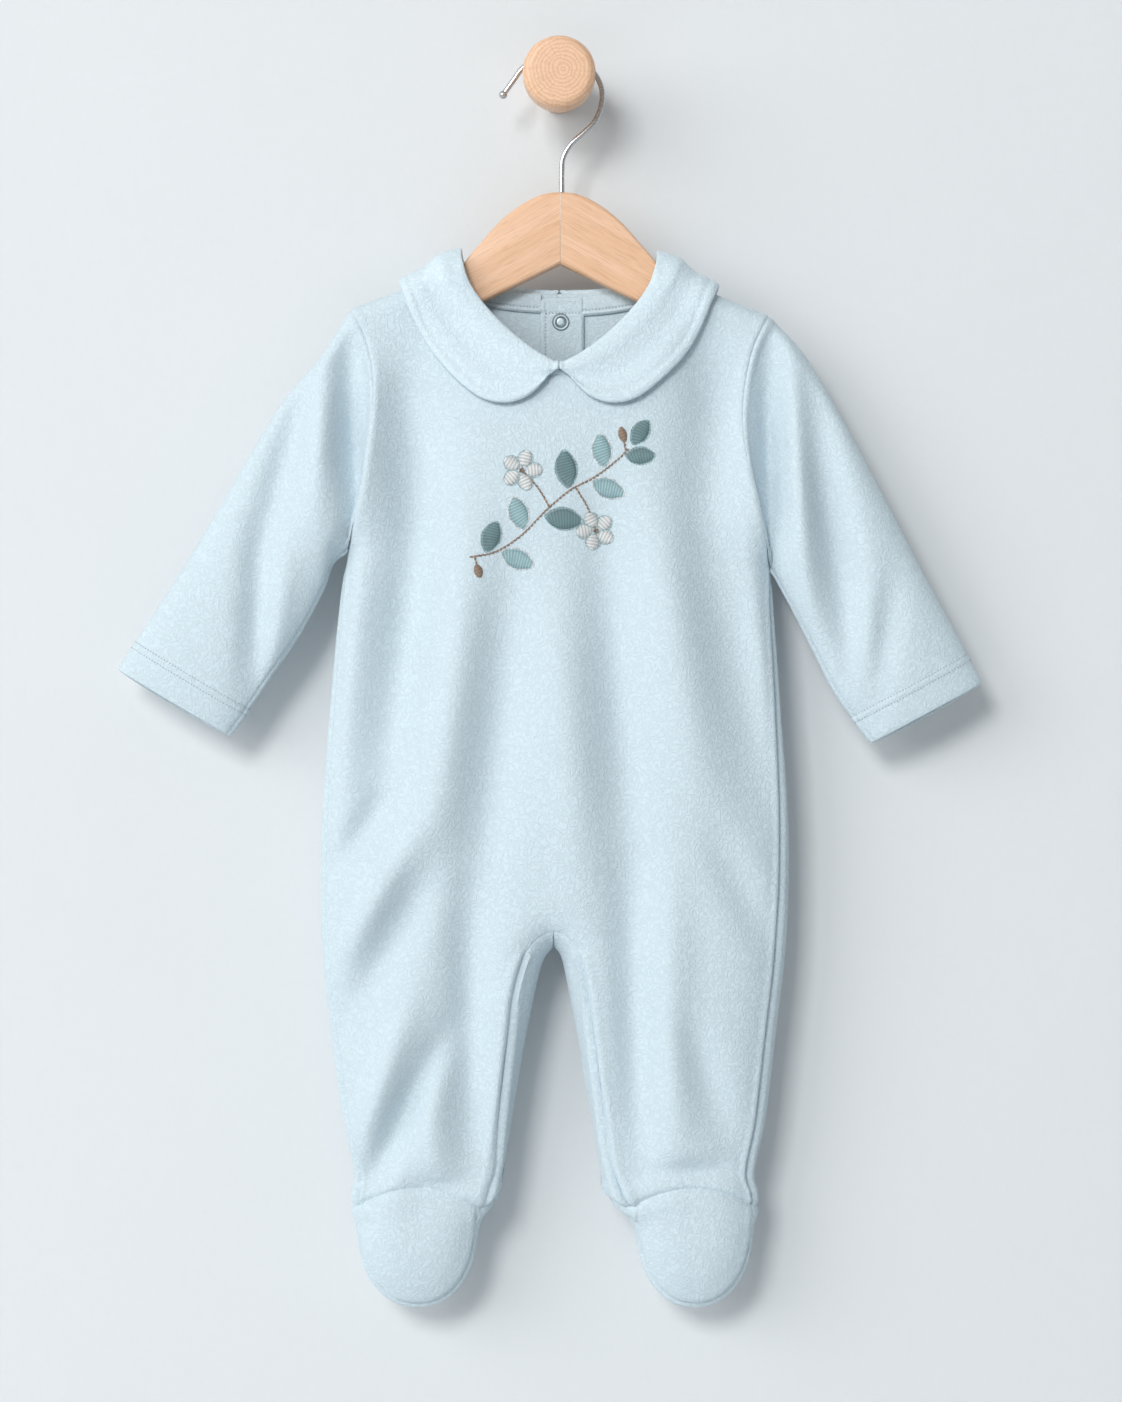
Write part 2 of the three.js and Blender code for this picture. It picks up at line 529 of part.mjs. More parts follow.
function sleeveRing(side, s, loop) {
  const table = SLEEVE[side];
  const at = (column) => track(table, 's', column, s);
  const top = { x: at('topX'), z: at('topZ') };
  const low = { x: at('lowX'), z: at('lowZ') };
  const tip = loop[0];
  const under = loop[YOKE_ROWS];
  const keep = smooth(1 - s / SLEEVE_SETTLE);
  const ring = loop.map((seam, j) => {
    const turn = (Math.PI * j) / YOKE_ROWS;
    const across = -Math.cos(turn);
    const face = j <= YOKE_ROWS ? 1 : -1;
    const share = (1 + across) / 2;
    const scoop = seam[0] - lerp(tip[0], under[0], share);
    const full = at(face > 0 ? 'front' : 'back') * Math.pow(Math.abs(Math.sin(turn)), 0.8);
    const own = full + sleeveFold(side, s, across, face) * Math.abs(Math.sin(turn));
    const depth = lerp(own, Math.abs(seam[1] - MID_Y), keep);
    const x = lerp(top.x, low.x, share) + scoop * keep;
    return [x, MID_Y - face * depth, lerp(top.z, low.z, share)];
  });
  return ring;
}

function sleeveGrid(side, loop) {
  const rings = [loop];
  for (let k = 1; k <= SLEEVE_RINGS; k += 1) {
    rings.push(sleeveRing(side, Math.pow(k / SLEEVE_RINGS, 1.15), loop));
  }
  return rings.map((ring) => [...ring, ring[0]]);
}

// A point of the foot, by distance across from its middle and height.
function footPoint(side, across, z, face) {
  const { x: middle, half } = FOOT[side];
  const reach = Math.pow(Math.min(Math.abs(across) / half, 1), FOOT_SHAPE);
  const drop = Math.max(FOOT_TOP - z, 0) / FOOT_DROP;
  const radial = Math.pow(reach + Math.pow(drop, FOOT_SHAPE), 1 / FOOT_SHAPE);
  const full = face > 0 ? FOOT_DEPTH.front : FOOT_DEPTH.back;
  const depth = full * fullness(Math.max((1 - radial) * half - 1e-6, 0) / FOOT_DEPTH.edge);
  return [middle + across, MID_Y - face * depth, z];
}

// A foot panel: its first row is the ankle seam, its last one lies on the outline.
function footGrid(side, ankle, face) {
  const { half } = FOOT[side];
  const power = 2 / FOOT_SHAPE;
  const grid = [ankle];
  FOOT_ROWS.forEach((row, i) => {
    const turn = (row.turn * Math.PI) / 180;
    const endHalf = half * Math.pow(Math.cos(turn), power);
    const endZ = FOOT_TOP - FOOT_DROP * Math.pow(Math.sin(turn), power);
    const bend = ((i + 1) / FOOT_ROWS.length) ** 2;
    const wrap = WRAP * Math.sqrt(row.seam / 4);
    grid.push(ankle.map((_, j) => {
      const u = j / COLUMNS;
      const q = face > 0 ? u : lerp(-wrap, 1 + wrap, u);
      const beyond = Math.max(-q, q - 1, 0);
      const even = face > 0 ? lerp(u, columnShare(u, 1), row.seam > 0 ? 0.7 : 1)
        : columnShare(clamp(q, 0, 1), 1);
      const inset = face > 0 ? row.seam : row.seam * (beyond > 0 ? (beyond / wrap) ** 2 : 0);
      const across = sideSign(side) * (endHalf * (1 - 2 * even) - Math.sign(0.5 - u) * inset
        * (face > 0 ? Math.abs(1 - 2 * even) : 1));
      const reach = Math.pow(Math.abs(across) / half, FOOT_SHAPE);
      const outlineZ = FOOT_TOP - FOOT_DROP * Math.pow(Math.max(1 - reach, 0), 1 / FOOT_SHAPE);
      return footPoint(side, across, lerp(endZ, outlineZ, bend), beyond > 0 ? 1 : face);
    }));
  });
  return grid;
}

// ---------------------------------------------------------------- from grids to solids

const keyOf = (p) => p.map((c) => (Math.round(c * 200) / 200 + 0).toFixed(3)).join(' ');

// A piece of cloth as an indexed surface whose faces point outwards.
class Piece {
  constructor(name, group = 'body', pull = SEAM_PULL) {
    Object.assign(this, { name, group, pull, points: [], triangles: [], index: new Map() });
  }

  vertex(p) {
    const key = keyOf(p);
    if (!this.index.has(key)) {
      this.index.set(key, this.points.length);
      this.points.push(p);
    }
    return this.index.get(key);
  }

  triangle(a, b, c) {
    if (a !== b && b !== c && c !== a) this.triangles.push([a, b, c]);
  }

  grid(rows, flip) {
    for (let i = 1; i < rows.length; i += 1) {
      for (let j = 1; j < rows[i].length; j += 1) {
        const corners = [rows[i - 1][j - 1], rows[i][j - 1], rows[i][j], rows[i - 1][j]];
        const [a, b, c, d] = corners.map((p) => this.vertex(p));
        const length = (m, n) => Math.hypot(...sub(corners[m], corners[n]));
        const pair = length(0, 2) <= length(1, 3) ? [[a, b, c], [a, c, d]] : [[a, b, d], [b, c, d]];
        for (const [l, m, n] of pair) this.triangle(l, flip ? n : m, flip ? m : n);
      }
    }
    return this;
  }

  // The piece's own normals, added up over the points that it shares with its group.
  addNormals(shared) {
    for (const triangle of this.triangles) {
      const [p, q, r] = triangle.map((v) => this.points[v]);
      const normal = cross(sub(q, p), sub(r, p));
      for (const v of [p, q, r]) {
        const key = keyOf(v);
        shared.set(key, add(shared.get(key) ?? [0, 0, 0], normal, 1));
      }
    }
  }

  // The directed edges that only one triangle has.
  border() {
    const edges = new Map();
    for (const [a, b, c] of this.triangles) {
      for (const [from, to] of [[a, b], [b, c], [c, a]]) edges.set(`${from} ${to}`, [from, to]);
    }
    return [...edges.values()].filter(([from, to]) => !edges.has(`${to} ${from}`));
  }

  solid(shared) {
    const normals = this.points.map((p) => unit(shared.get(keyOf(p))));
    const inward = this.points.map(() => []);
    const border = this.border();
    for (const [from, to] of border) {
      const along = sub(this.points[to], this.points[from]);
      for (const v of [from, to]) inward[v].push(unit(cross(normals[v], along)));
    }
    const outer = this.points.map((p, v) => {
      if (inward[v].length < 2) return p;
      const [first, second] = inward[v];
      const both = add(first, second, 1);
      return add(p, both, this.pull / Math.max(1 + dot(first, second), 0.5));
    });
    const inner = outer.map((p, v) => add(p, normals[v], -CLOTH_WALL));
    return closedGeometry(outer, inner, this.triangles, border);
  }
}

// Directions in which the cloth is thick. Where the body meets a sleeve or a foot, each of the
// two counts the same, however many pieces it is cut in.
function sharedNormals(pieces) {
  const groups = new Map();
  for (const piece of pieces) {
    if (!groups.has(piece.group)) groups.set(piece.group, new Map());
    piece.addNormals(groups.get(piece.group));
  }
  const shared = new Map();
  for (const normals of groups.values()) {
    for (const [key, normal] of normals) {
      shared.set(key, add(shared.get(key) ?? [0, 0, 0], unit(normal), 1));
    }
  }
  return shared;
}

// Closes an outer and an inner surface with a wall along the border. The wall's quads are split
// the same way on both sides of a seam, so that neighbours stay parallel where they twist.
function closedGeometry(outer, inner, triangles, border) {
  const count = outer.length;
  const faces = [];
  const rank = (v) => outer[v][0] + 2 * outer[v][1] + 3 * outer[v][2];
  for (const [a, b, c] of triangles) faces.push(a, b, c, c + count, b + count, a + count);
  for (const [from, to] of border) {
    if (rank(from) > rank(to)) faces.push(to, from, from + count, to, from + count, to + count);
    else faces.push(to, from, to + count, from, from + count, to + count);
  }
  return indexed([...outer, ...inner], faces);
}

function indexed(points, faces) {
  const geometry = new THREE.BufferGeometry();
  geometry.setAttribute('position', new THREE.Float32BufferAttribute(points.flat(), 3));
  geometry.setIndex(faces);
  geometry.computeVertexNormals();
  return geometry;
}

function meshOf(name, geometry, look) {
  const mesh = new THREE.Mesh(geometry, new THREE.MeshStandardMaterial(COLOURS[look]));
  mesh.name = name;
  return mesh;
}

// A solid between an outer grid of points and an inner one, both of the same size.
function slab(outerRows, innerRows, flip) {
  const columns = outerRows[0].length;
  const at = (i, j) => i * columns + j;
  const triangles = [];
  for (let i = 1; i < outerRows.length; i += 1) {
    for (let j = 1; j < columns; j += 1) {
      const [a, b, c, d] = [at(i - 1, j - 1), at(i, j - 1), at(i, j), at(i - 1, j)];
      triangles.push(...(flip ? [[a, c, b], [a, d, c]] : [[a, b, c], [a, c, d]]));
    }
  }
  const piece = new Piece('slab');
  piece.triangles = triangles;
  return closedGeometry(outerRows.flat(), innerRows.flat(), triangles, piece.border());
}

// A solid through rings of points, each in the same order, closed by flat fans at both ends.
function loft(rings) {
  const size = rings[0].length;
  const faces = [];
  for (let i = 1; i < rings.length; i += 1) {
    for (let j = 0; j < size; j += 1) {
      const next = (j + 1) % size;
      const [a, b] = [(i - 1) * size + j, (i - 1) * size + next];
      const [c, d] = [i * size + next, i * size + j];
      faces.push(a, b, c, a, c, d);
    }
  }
  const last = (rings.length - 1) * size;
  for (let j = 1; j < size - 1; j += 1) faces.push(0, j + 1, j, last, last + j, last + j + 1);
  return indexed(rings.flat(), faces);
}

// ---------------------------------------------------------------- the garment

function cutPieces() {
  const pieces = [];
  const front = new Piece('front_panel');
  pieces.push(front);
  for (const side of ['left', 'right']) {
    const right = side === 'right';
    const frontRows = bodyGrid(side, 1);
    const backRows = bodyGrid(side, -1);
    front.grid(frontRows, right);
    pieces.push(new Piece(`back_panel_${side}`).grid(backRows, !right));
    const loop = armholeLoop(frontRows, backRows);
    pieces.push(new Piece(`sleeve_${side}`, 'sleeve', 1.5 * SEAM_PULL).grid(sleeveGrid(side, loop), right));
    const upper = footGrid(side, frontRows.at(-1), 1);
    const sole = footGrid(side, backRows.at(-1), -1);
    pieces.push(new Piece(`foot_upper_${side}`, 'foot').grid(upper, right));
    pieces.push(new Piece(`foot_sole_${side}`, 'foot').grid(sole, !right));
  }
  return pieces;
}

// ---------------------------------------------------------------- what lies on the body

// The body near the shoulder, by distance across and length of cloth from the shoulder line:
// positive down the front, negative down the back.
function drapePoint(x, length) {
  const round = SHOULDER.ridge;
  const far = Math.abs(length);
  const quarter = (round * Math.PI) / 2;
  const fall = far < quarter ? round * (1 - Math.cos(far / round)) : round + far - quarter;
  return bodyPoint(x, ridgeZ(x) - fall, length < 0 ? -1 : 1);
}

function drapeNormal(x, length) {
  const step = 0.6;
  const alongX = sub(drapePoint(x + step, length), drapePoint(x - step, length));
  const along = sub(drapePoint(x, length + step), drapePoint(x, length - step));
  return unit(cross(along, alongX));
}

function lengthOf(x, z, face) {
  const round = SHOULDER.ridge;
  const fall = Math.max(ridgeZ(x) - z, 0);
  const quarter = (round * Math.PI) / 2;
  return face * (fall < round ? round * Math.acos(1 - fall / round) : quarter + fall - round);
}

function collarBase(side, round) {
  const { neckShare } = COLLAR;
  const face = round <= neckShare ? 1 : -1;
  const turn = face > 0 ? 1 - round / neckShare : (round - neckShare) / (1 - neckShare);
  const { x, z } = neckPoint(side, turn, face);
  return { x, length: lengthOf(x, z, face) };
}

function collarOuter(side, round) {
  const rows = COLLAR_EDGE.map((row) => {
    const x = sideSign(side) * row.across;
    return { round: row.round, x, length: lengthOf(x, row.z, row.face) };
  });
  return { x: track(rows, 'round', 'x', round), length: track(rows, 'round', 'length', round) };
}

function collarRoll(round) {
  const { neckShare, rollFront, rollSide, rollBack } = COLLAR;
  if (round < neckShare) return lerp(rollFront, rollSide, smooth((round / neckShare - 0.45) / 0.55));
  return lerp(rollSide, rollBack, smooth((round - neckShare) / (1 - neckShare)));
}

// One cross-section of a leaf: it stands on the neck seam, rolls over and lies on the body.
function collarRow(side, round) {
  const base = collarBase(side, round);
  const edge = collarOuter(side, round);
  const roll = collarRoll(round);
  const seam = drapePoint(base.x, base.length);
  const out = drapeNormal(base.x, base.length);
  const ahead = collarBase(side, Math.min(round + 0.03, 1));
  const behind = collarBase(side, Math.max(round - 0.03, 0));
  const along = unit(sub(
    drapePoint(ahead.x, ahead.length), drapePoint(behind.x, behind.length)));
  let hole = unit(cross(along, out));
  if (side === 'right') hole = hole.map((c) => -c);
  const clear = COLLAR.frontClear * Math.exp(-((round / 0.08) ** 2));
  const place = (towardHole, above) => add(add(seam, hole, towardHole + clear), out, above);
  const outer = COLLAR.stand.map((row) => place(row.hole, row.up + row.rolled * roll));
  const inner = COLLAR.stand.map((row) => place(row.within, row.below + row.rolled * roll));
  const bulk = Math.exp(-((edge.length / 15) ** 2)) * COLLAR.ridgeLift;
  const low = COLLAR.edgeLift + bulk + COLLAR.backLift * smooth((round - 0.8) / 0.12);
  for (let j = 1; j <= COLLAR.columns; j += 1) {
    const q = j / COLLAR.columns;
    const x = lerp(base.x, edge.x, q);
    const length = lerp(base.length, edge.length, q);
    const normal = drapeNormal(x, length);
    const lift = Math.max(low + (roll - low) * (1 - q ** 4), low);
    const point = drapePoint(x, length);
    outer.push(add(point, normal, lift));
    inner.push(add(point, normal, lift - COLLAR.leaf));
  }
  const sign = sideSign(side);
  const own = ([x, y, z]) => [sign * Math.max(sign * x, COLLAR.ends), y, z];
  return { outer: outer.map(own), inner: inner.map(own) };
}

function collarLeaf(side) {
  const stops = COLLAR.rounds.flatMap(([from, to, count]) => spread(from, to, count).slice(0, -1));
  const rows = [...stops, 1].map((round) => collarRow(side, round));
  const geometry = slab(rows.map((r) => r.outer), rows.map((r) => r.inner), side === 'right');
  return meshOf(`collar_${side}`, geometry, 'cloth');
}

// A strip of the back's own points, moved in (positive) or out of the garment.
function backStrip(xs, zAt, rows, from, thick) {
  const shifted = (offset) => Array.from({ length: rows + 1 }, (_, i) => xs.map((x) => {
    const z = zAt(x, i / rows);
    const normal = drapeNormal(x, lengthOf(x, z, -1));
    return add(bodyPoint(x, z, -1), normal, -offset);
  }));
  return [shifted(from), shifted(from + thick)];
}

function neckBinding(side) {
  const sign = sideSign(side);
  const inside = side === 'left' ? PLACKET.left - LAY_GAP : PLACKET.right + LAY_GAP;
  const xs = spread(sign * BINDING.outer, inside, 7);
  const neckZ = (x) => {
    const reach = Math.pow(clamp(Math.abs(x) / NECK.half, 0, 1), NECK.backShape);
    return ridgeZ(sign * NECK.half) - NECK.backFall * Math.pow(1 - reach, 1 / NECK.backShape);
  };
  const zAt = (x, share) => neckZ(x) - 0.6 - BINDING.wide * share;
  const [near, far] = backStrip(xs, zAt, 2, CLOTH_WALL + LAY_GAP, BINDING.thick);
  return meshOf(`neck_binding_${side}`, slab(near, far, side === 'left'), 'cloth');
}

function placket(name, from, top) {
  const xs = spread(PLACKET.left, PLACKET.right, 4);
  const zAt = (x, share) => lerp(top, PLACKET.bottom, share);
  const [near, far] = backStrip(xs, zAt, 14, from, PLACKET.thick);
  return meshOf(name, slab(near, far, true), 'cloth');
}

// A turned disc or ring, standing on the back's surface at a height, facing in or out.
function snapPart(name, index, outline, offset, facing) {
  const z = SNAP.top - SNAP.pitch * index;
  const normal = drapeNormal(SNAP.x, lengthOf(SNAP.x, z, -1));
  const geometry = new THREE.LatheGeometry(outline.map(([r, h]) => new THREE.Vector2(r, h)), 12);
  const mesh = meshOf(name, geometry, 'steel');
  const towards = new THREE.Vector3(...normal).multiplyScalar(facing);
  mesh.quaternion.setFromUnitVectors(new THREE.Vector3(0, 1, 0), towards);
  mesh.position.set(...add(bodyPoint(SNAP.x, z, -1), normal, offset));
  return mesh;
}

function snaps() {
  const { radius, thick, bore } = SNAP;
  const ring = [[bore, 0], [radius, 0], [radius, thick * 0.6], [radius - 0.8, thick],
    [bore + 0.7, thick], [bore, thick * 0.5], [bore, 0]];
  const cap = [[0, 0], [radius, 0], [radius, 0.5], [radius * 0.7, 1.2], [0, 1.5]];
  const inside = -(CLOTH_WALL + 2 * LAY_GAP + PLACKET.thick);
  const outside = 2 * LAY_GAP + PLACKET.thick;
  const made = [];
  for (let i = 0; i < SNAP.count; i += 1) {
    made.push(snapPart(`snap_ring_${i + 1}`, i, ring, inside, -1));
    made.push(snapPart(`snap_cap_${i + 1}`, i, cap, outside, 1));
  }
  return made;
}

// ---------------------------------------------------------------- hanger, hook and peg

function hangerArm(side) {
  const sign = sideSign(side);
  const { half, chamfer } = HANGER;
  const rings = ARM.map((row, i) => {
    const x = HANGER.x + sign * (i === 0 ? HANGER.mitre : row.out);
    const top = row.out > HANGER.neck ? Math.min(row.top, ridgeZ(x) - HANGER.under) : row.top;
    const cut = Math.min(chamfer, (top - row.under) / 3);
    const corners = [
      [-half + cut, top], [half - cut, top], [half, top - cut], [half, row.under + cut],
      [half - cut, row.under], [-half + cut, row.under], [-half, row.under + cut],
      [-half, top - cut],
    ];
    return corners.map(([y, z]) => [x, MID_Y + y, z]);
  });
  if (side === 'right') rings.reverse();
  return meshOf(`hanger_arm_${side}`, loft(rings), 'wood');
}

function hook() {
  const route = HOOK.map(([x, z]) => new THREE.Vector3(x, MID_Y, z));
  const curve = new THREE.CatmullRomCurve3(route, false, 'centripetal');
  const section = new THREE.Shape();
  const sides = 8;
  for (let i = 0; i < sides; i += 1) {
    const turn = (2 * Math.PI * i) / sides;
    const [u, v] = [WIRE_RADIUS * Math.cos(turn), WIRE_RADIUS * Math.sin(turn)];
    if (i === 0) section.moveTo(u, v);
    else section.lineTo(u, v);
  }
  const options = { steps: 38, extrudePath: curve, bevelEnabled: false };
  return meshOf('hook_wire', new THREE.ExtrudeGeometry(section, options), 'steel');
}

function hookBall() {
  const [x, z] = HOOK.at(-1);
  const before = HOOK.at(-2);
  const run = Math.hypot(x - before[0], z - before[1]);
  const reach = BALL_RADIUS + LAY_GAP;
  const ball = meshOf('hook_ball', new THREE.SphereGeometry(BALL_RADIUS, 12, 8), 'steel');
  ball.position.set(x + (reach * (x - before[0])) / run, MID_Y, z + (reach * (z - before[1])) / run);
  return ball;
}

function wallPeg() {
  const { neck, disc, discBack, front, bevel } = PEG;
  const outline = [
    [0, 0], [neck, 0], [neck, -discBack - 3], [neck + 2, -discBack - 0.6], [disc - 2.2, -discBack],
    [disc - 0.5, -discBack + 0.9], [disc, -discBack + 2.6], [disc, -front - bevel],
    [disc - 0.7, -front - 0.8], [disc - bevel, -front], [0, -front],
  ];
  const points = outline.map(([r, along]) => new THREE.Vector2(r, along));
  const geometry = new THREE.LatheGeometry(points, 32);
  const peg = meshOf('wall_peg', geometry, 'wood');
  peg.rotation.x = Math.PI;
  return peg;
}

// ---------------------------------------------------------------- assembly

const part = new THREE.Group();
const pieces = cutPieces();
const shared = sharedNormals(pieces);
for (const piece of pieces) part.add(meshOf(piece.name, piece.solid(shared), 'cloth'));
for (const side of ['left', 'right']) part.add(collarLeaf(side), neckBinding(side), hangerArm(side));
part.add(placket('placket_inner', CLOTH_WALL + LAY_GAP, PLACKET.top));
part.add(placket('placket_outer', -LAY_GAP - PLACKET.thick, PLACKET.top - 2));
part.add(...snaps(), hook(), hookBall(), wallPeg());

export default part;
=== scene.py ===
"""Footed baby jumpsuit on a child's wooden hanger, hung over a round wall peg.

Lengths are millimetres in the tables and functions, and metres in the meshes. +Z is up, +X is to
the right of someone facing the garment, and the wall is the plane y = 0. A side is -1 on the
left and 1 on the right, and a face is 1 on the garment's front and -1 on its back.
"""
import math

import bpy
import numpy as np
from bpy.props import FloatProperty, FloatVectorProperty, PointerProperty
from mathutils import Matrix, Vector


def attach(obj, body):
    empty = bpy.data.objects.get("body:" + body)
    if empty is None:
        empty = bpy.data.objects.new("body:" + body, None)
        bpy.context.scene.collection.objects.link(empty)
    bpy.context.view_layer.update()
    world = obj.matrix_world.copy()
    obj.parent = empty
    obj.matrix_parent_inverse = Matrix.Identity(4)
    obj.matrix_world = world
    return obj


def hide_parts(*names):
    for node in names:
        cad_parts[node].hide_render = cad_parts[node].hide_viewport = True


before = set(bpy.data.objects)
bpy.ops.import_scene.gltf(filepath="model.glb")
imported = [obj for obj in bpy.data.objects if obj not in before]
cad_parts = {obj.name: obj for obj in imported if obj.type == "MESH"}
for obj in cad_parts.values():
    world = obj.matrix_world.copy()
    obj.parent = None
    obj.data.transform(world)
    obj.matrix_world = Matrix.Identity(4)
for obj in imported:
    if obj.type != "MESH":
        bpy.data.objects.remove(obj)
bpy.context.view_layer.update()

bl_info = {
    "name": "Footed baby jumpsuit",
    "version": (1, 0, 0),
    "blender": (4, 5, 0),
    "location": "3D View > Sidebar > Jumpsuit",
    "description": "Builds a footed baby jumpsuit with its hanger and wall peg",
    "category": "Add Mesh",
}

# ------------------------------------------------------------------------------ cut and drape


def table(names, rows):
    """Named columns of a short table, each as an array."""
    return dict(zip(names.split(), np.array(rows, float).T))


MID_Y = -30.0          # plane of the hanger, the hook and the side seams
# Shoulder line: its outer end, slope, rounding in the middle and tilt.
TIP_X, TIP_Z, SLOPE, CROWN, TILT = 113.5, -124.3, 0.39, 20.0, -0.015
RIDGE, SETTLE = 10.0, 120.0            # rounding over the hanger, and fall to full depth
NECK_LIFT, LIFT_FROM, LIFT_TO = 4.6, 88.0, 58.0     # rise beside the neck, between two places
NECK_HALF = 57.5       # half width of the neck on the shoulder line
NECK_CORNER = 4 / 11   # share of a panel's upper edge that is shoulder
# Depth of the neck edge at the centre, and the power of its superellipse.
NECK_FALL = {1: 58.0, -1: 15.0}
NECK_SHAPE = {1: 1.32, -1: 2.2}
V_SEAM_Z, V_SEAM_HALF = -159.9, 14.0   # the front's neck seam between the collar leaves
SIDES = {-1: "left", 1: "right"}

# Outline and depth of the body at heights z: outer edges, how far in front of them the side
# seams lie, full depth before and behind the middle plane, and width of the rounding.
TRUNK = table("z left right seam_left seam_right front back edge", [
    (-253, -113.4, 112.8, 0.0, 0.0, 23.0, 16, 66),
    (-280, -117.4, 114.6, 0.8, 1.2, 24.0, 17, 66),
    (-334, -122.7, 119.1, 1.6, 2.6, 25.5, 18, 64),
    (-400, -127.8, 123.7, 2.6, 4.4, 25.0, 18, 56),
    (-460, -128.2, 122.8, 3.0, 5.4, 23.5, 18, 46),
    (-517, -122.7, 116.6, 3.0, 5.4, 21.5, 17, 42),
    (-561, -116.2, 111.2, 3.0, 5.0, 19.5, 16, 40),
    (-588, -110.8, 105.6, 3.0, 4.2, 18.0, 15, 38),
    (-600, -111.2, 106.2, 3.6, 3.0, 17.5, 15, 37),
    (-609, -112.4, 107.4, 3.9, 2.6, 17.0, 15, 36),
    (-625, -110.0, 105.0, 3.9, 2.6, 17.0, 15, 36),
])
# Inner edge of each leg, from the crotch to the ankle.
FORK = table("z left right", [
    (-467.0, -3.0, -3.0), (-470.5, -6.2, 0.2), (-475.0, -8.8, 1.9), (-485.0, -11.7, 4.0),
    (-496.0, -14.0, 6.1), (-517.5, -18.4, 10.3), (-539.0, -22.1, 13.7), (-561.0, -25.8, 17.8),
    (-582.0, -29.0, 21.1), (-595.0, -31.6, 23.6), (-603.0, -34.6, 26.6), (-612.0, -40.0, 33.0),
    (-625.0, -44.0, 41.0),
])
FORK_EDGE = 25.0       # width over which the depth builds up from the fork
# Heights at the crotch: the front's seam, the back's seam and the fork's first row below it.
CROTCH_FRONT, CROTCH_BACK, FORK_TOP = -457.6, -467.0, -470.5
CROTCH_X, CENTRE_TOP, CENTRE_FALL = -3.0, -155.0, 305.0     # the centre line's drift
# Armhole seam: share of the way down, and distance from the centre on each side.
ARMHOLE = table("down left right", [
    (0.00, 112.6, 113.3), (0.13, 104.2, 104.8), (0.30, 100.0, 99.8), (0.45, 100.3, 99.3),
    (0.65, 103.6, 103.4), (0.78, 106.8, 107.9), (0.90, 111.0, 111.6), (1.00, 113.4, 113.3),
])
UNDERARM = {-1: -253.4, 1: -262.0}     # height of each underarm point
UNDERARM_EASE = 12.0                   # how softly the body opens out into the sleeve
BACK_ARMHOLE_OUT = 3.0                 # the back armhole is scooped less
CHEST_Z = -258.0
CROTCH_ROW, ANKLE_ROW, TOE_ROW = 9, 18, 6     # last rows of the tables that follow
# Rows across the body: height at the outer edge and at the inner end of the front and back.
CHEST_ROWS = table("row outer front back", [
    (1, -284, -285, -285), (2, -314, -315, -315), (3, -344, -345, -345), (4, -373, -374, -374),
    (5, -400, -401, -402), (6, -424, -424, -428), (7, -443, -442, -448), (8, -456, -452, -467),
    (9, -465, CROTCH_FRONT, CROTCH_BACK),
])
# Rows across a leg: height at the outer edge and at the fork, the inseam's point on the front,
# and how far the row rises in its middle.
LEG_ROWS = table("row outer fork seam left right rise", [
    (9, -465.0, FORK_TOP, CROTCH_FRONT, CROTCH_X, CROTCH_X, 0.0),
    (10, -473.0, -475.0, -459.2, -9.0, 2.8, 0.0),
    (11, -481.0, -480.5, -463.6, -14.8, 7.4, 0.0),
    (12, -490.0, -488.0, -474.0, -19.8, 11.8, 0.0),
    (13, -501.0, -500.0, -491.6, -24.3, 15.4, 0.0),
    (14, -518.0, -517.0, -513.2, -26.9, 17.8, 0.0),
    (15, -543.0, -542.5, -541.3, -29.9, 21.3, 0.0),
    (16, -568.0, -568.0, -568.0, -32.4, 24.8, 1.5),
    (17, -588.0, -587.0, -589.0, -35.0, 29.0, 5.0),
    (18, -605.8, -602.0, -606.8, -41.6, 37.8, 11.0),
])
HEEL_RISE = 0.35                       # the heel seam rises by this share of the ankle seam
OUTER_WRAP, INNER_WRAP = 0.12, 0.2     # shares of a back row that lie on the front
WRAP_AT = 4.0                          # the inset at which the outer wrap has that share

# A sleeve laid flat, from armhole (s 0) to cuff (s 1): top and bottom edge, and depth.
SLEEVE = {
    -1: table("s top_x top_z low_x low_z front back", [
        (0.00, -112.6, -123.3, -113.4, -253.4, 21, 17),
        (0.13, -129.1, -149.0, -121.6, -260.4, 19, 17),
        (0.28, -149.0, -172.8, -127.0, -274.6, 18, 17),
        (0.48, -174.6, -215.1, -140.9, -300.5, 17, 16),
        (0.68, -199.6, -257.3, -156.6, -323.1, 16, 15),
        (0.86, -220.8, -290.6, -168.4, -340.5, 14, 13),
        (1.00, -238.1, -316.6, -177.1, -352.8, 11, 12),
    ]),
    1: table("s top_x top_z low_x low_z front back", [
        (0.00, 113.3, -126.7, 113.3, -262.0, 21, 17),
        (0.13, 131.6, -146.6, 118.9, -272.5, 19, 17),
        (0.28, 150.4, -177.8, 125.6, -285.2, 18, 17),
        (0.48, 175.0, -223.8, 136.6, -307.0, 17, 16),
        (0.68, 197.6, -267.4, 147.2, -328.0, 16, 15),
        (0.86, 214.8, -299.0, 158.0, -343.6, 14, 13),
        (1.00, 227.9, -324.2, 167.9, -356.6, 11, 12),
    ]),
}
SLEEVE_ROUND = 0.8                     # power of the sine that gives a sleeve's section
SLEEVE_SETTLE = 0.35                   # share in which the armhole's own shape fades out
HEM_ROWS = (13.5, 17.2)                # twin stitching of the cuff, from its edge
BACK_PEEP = 2.2                        # how much lower the back of the cuff hangs

FOOT = {-1: (-76.5, 33.2), 1: (73.0, 32.2)}     # middle across and half width
# The widest line of the feet, their length below it, the superellipse's power, the depth before
# and behind the middle plane, and the width of the rounding.
FOOT_TOP, FOOT_DROP, FOOT_SHAPE = -613.5, 47.8, 2.15
FOOT_DEPTH, FOOT_EDGE = {1: 17.0, -1: 15.0}, 30.0
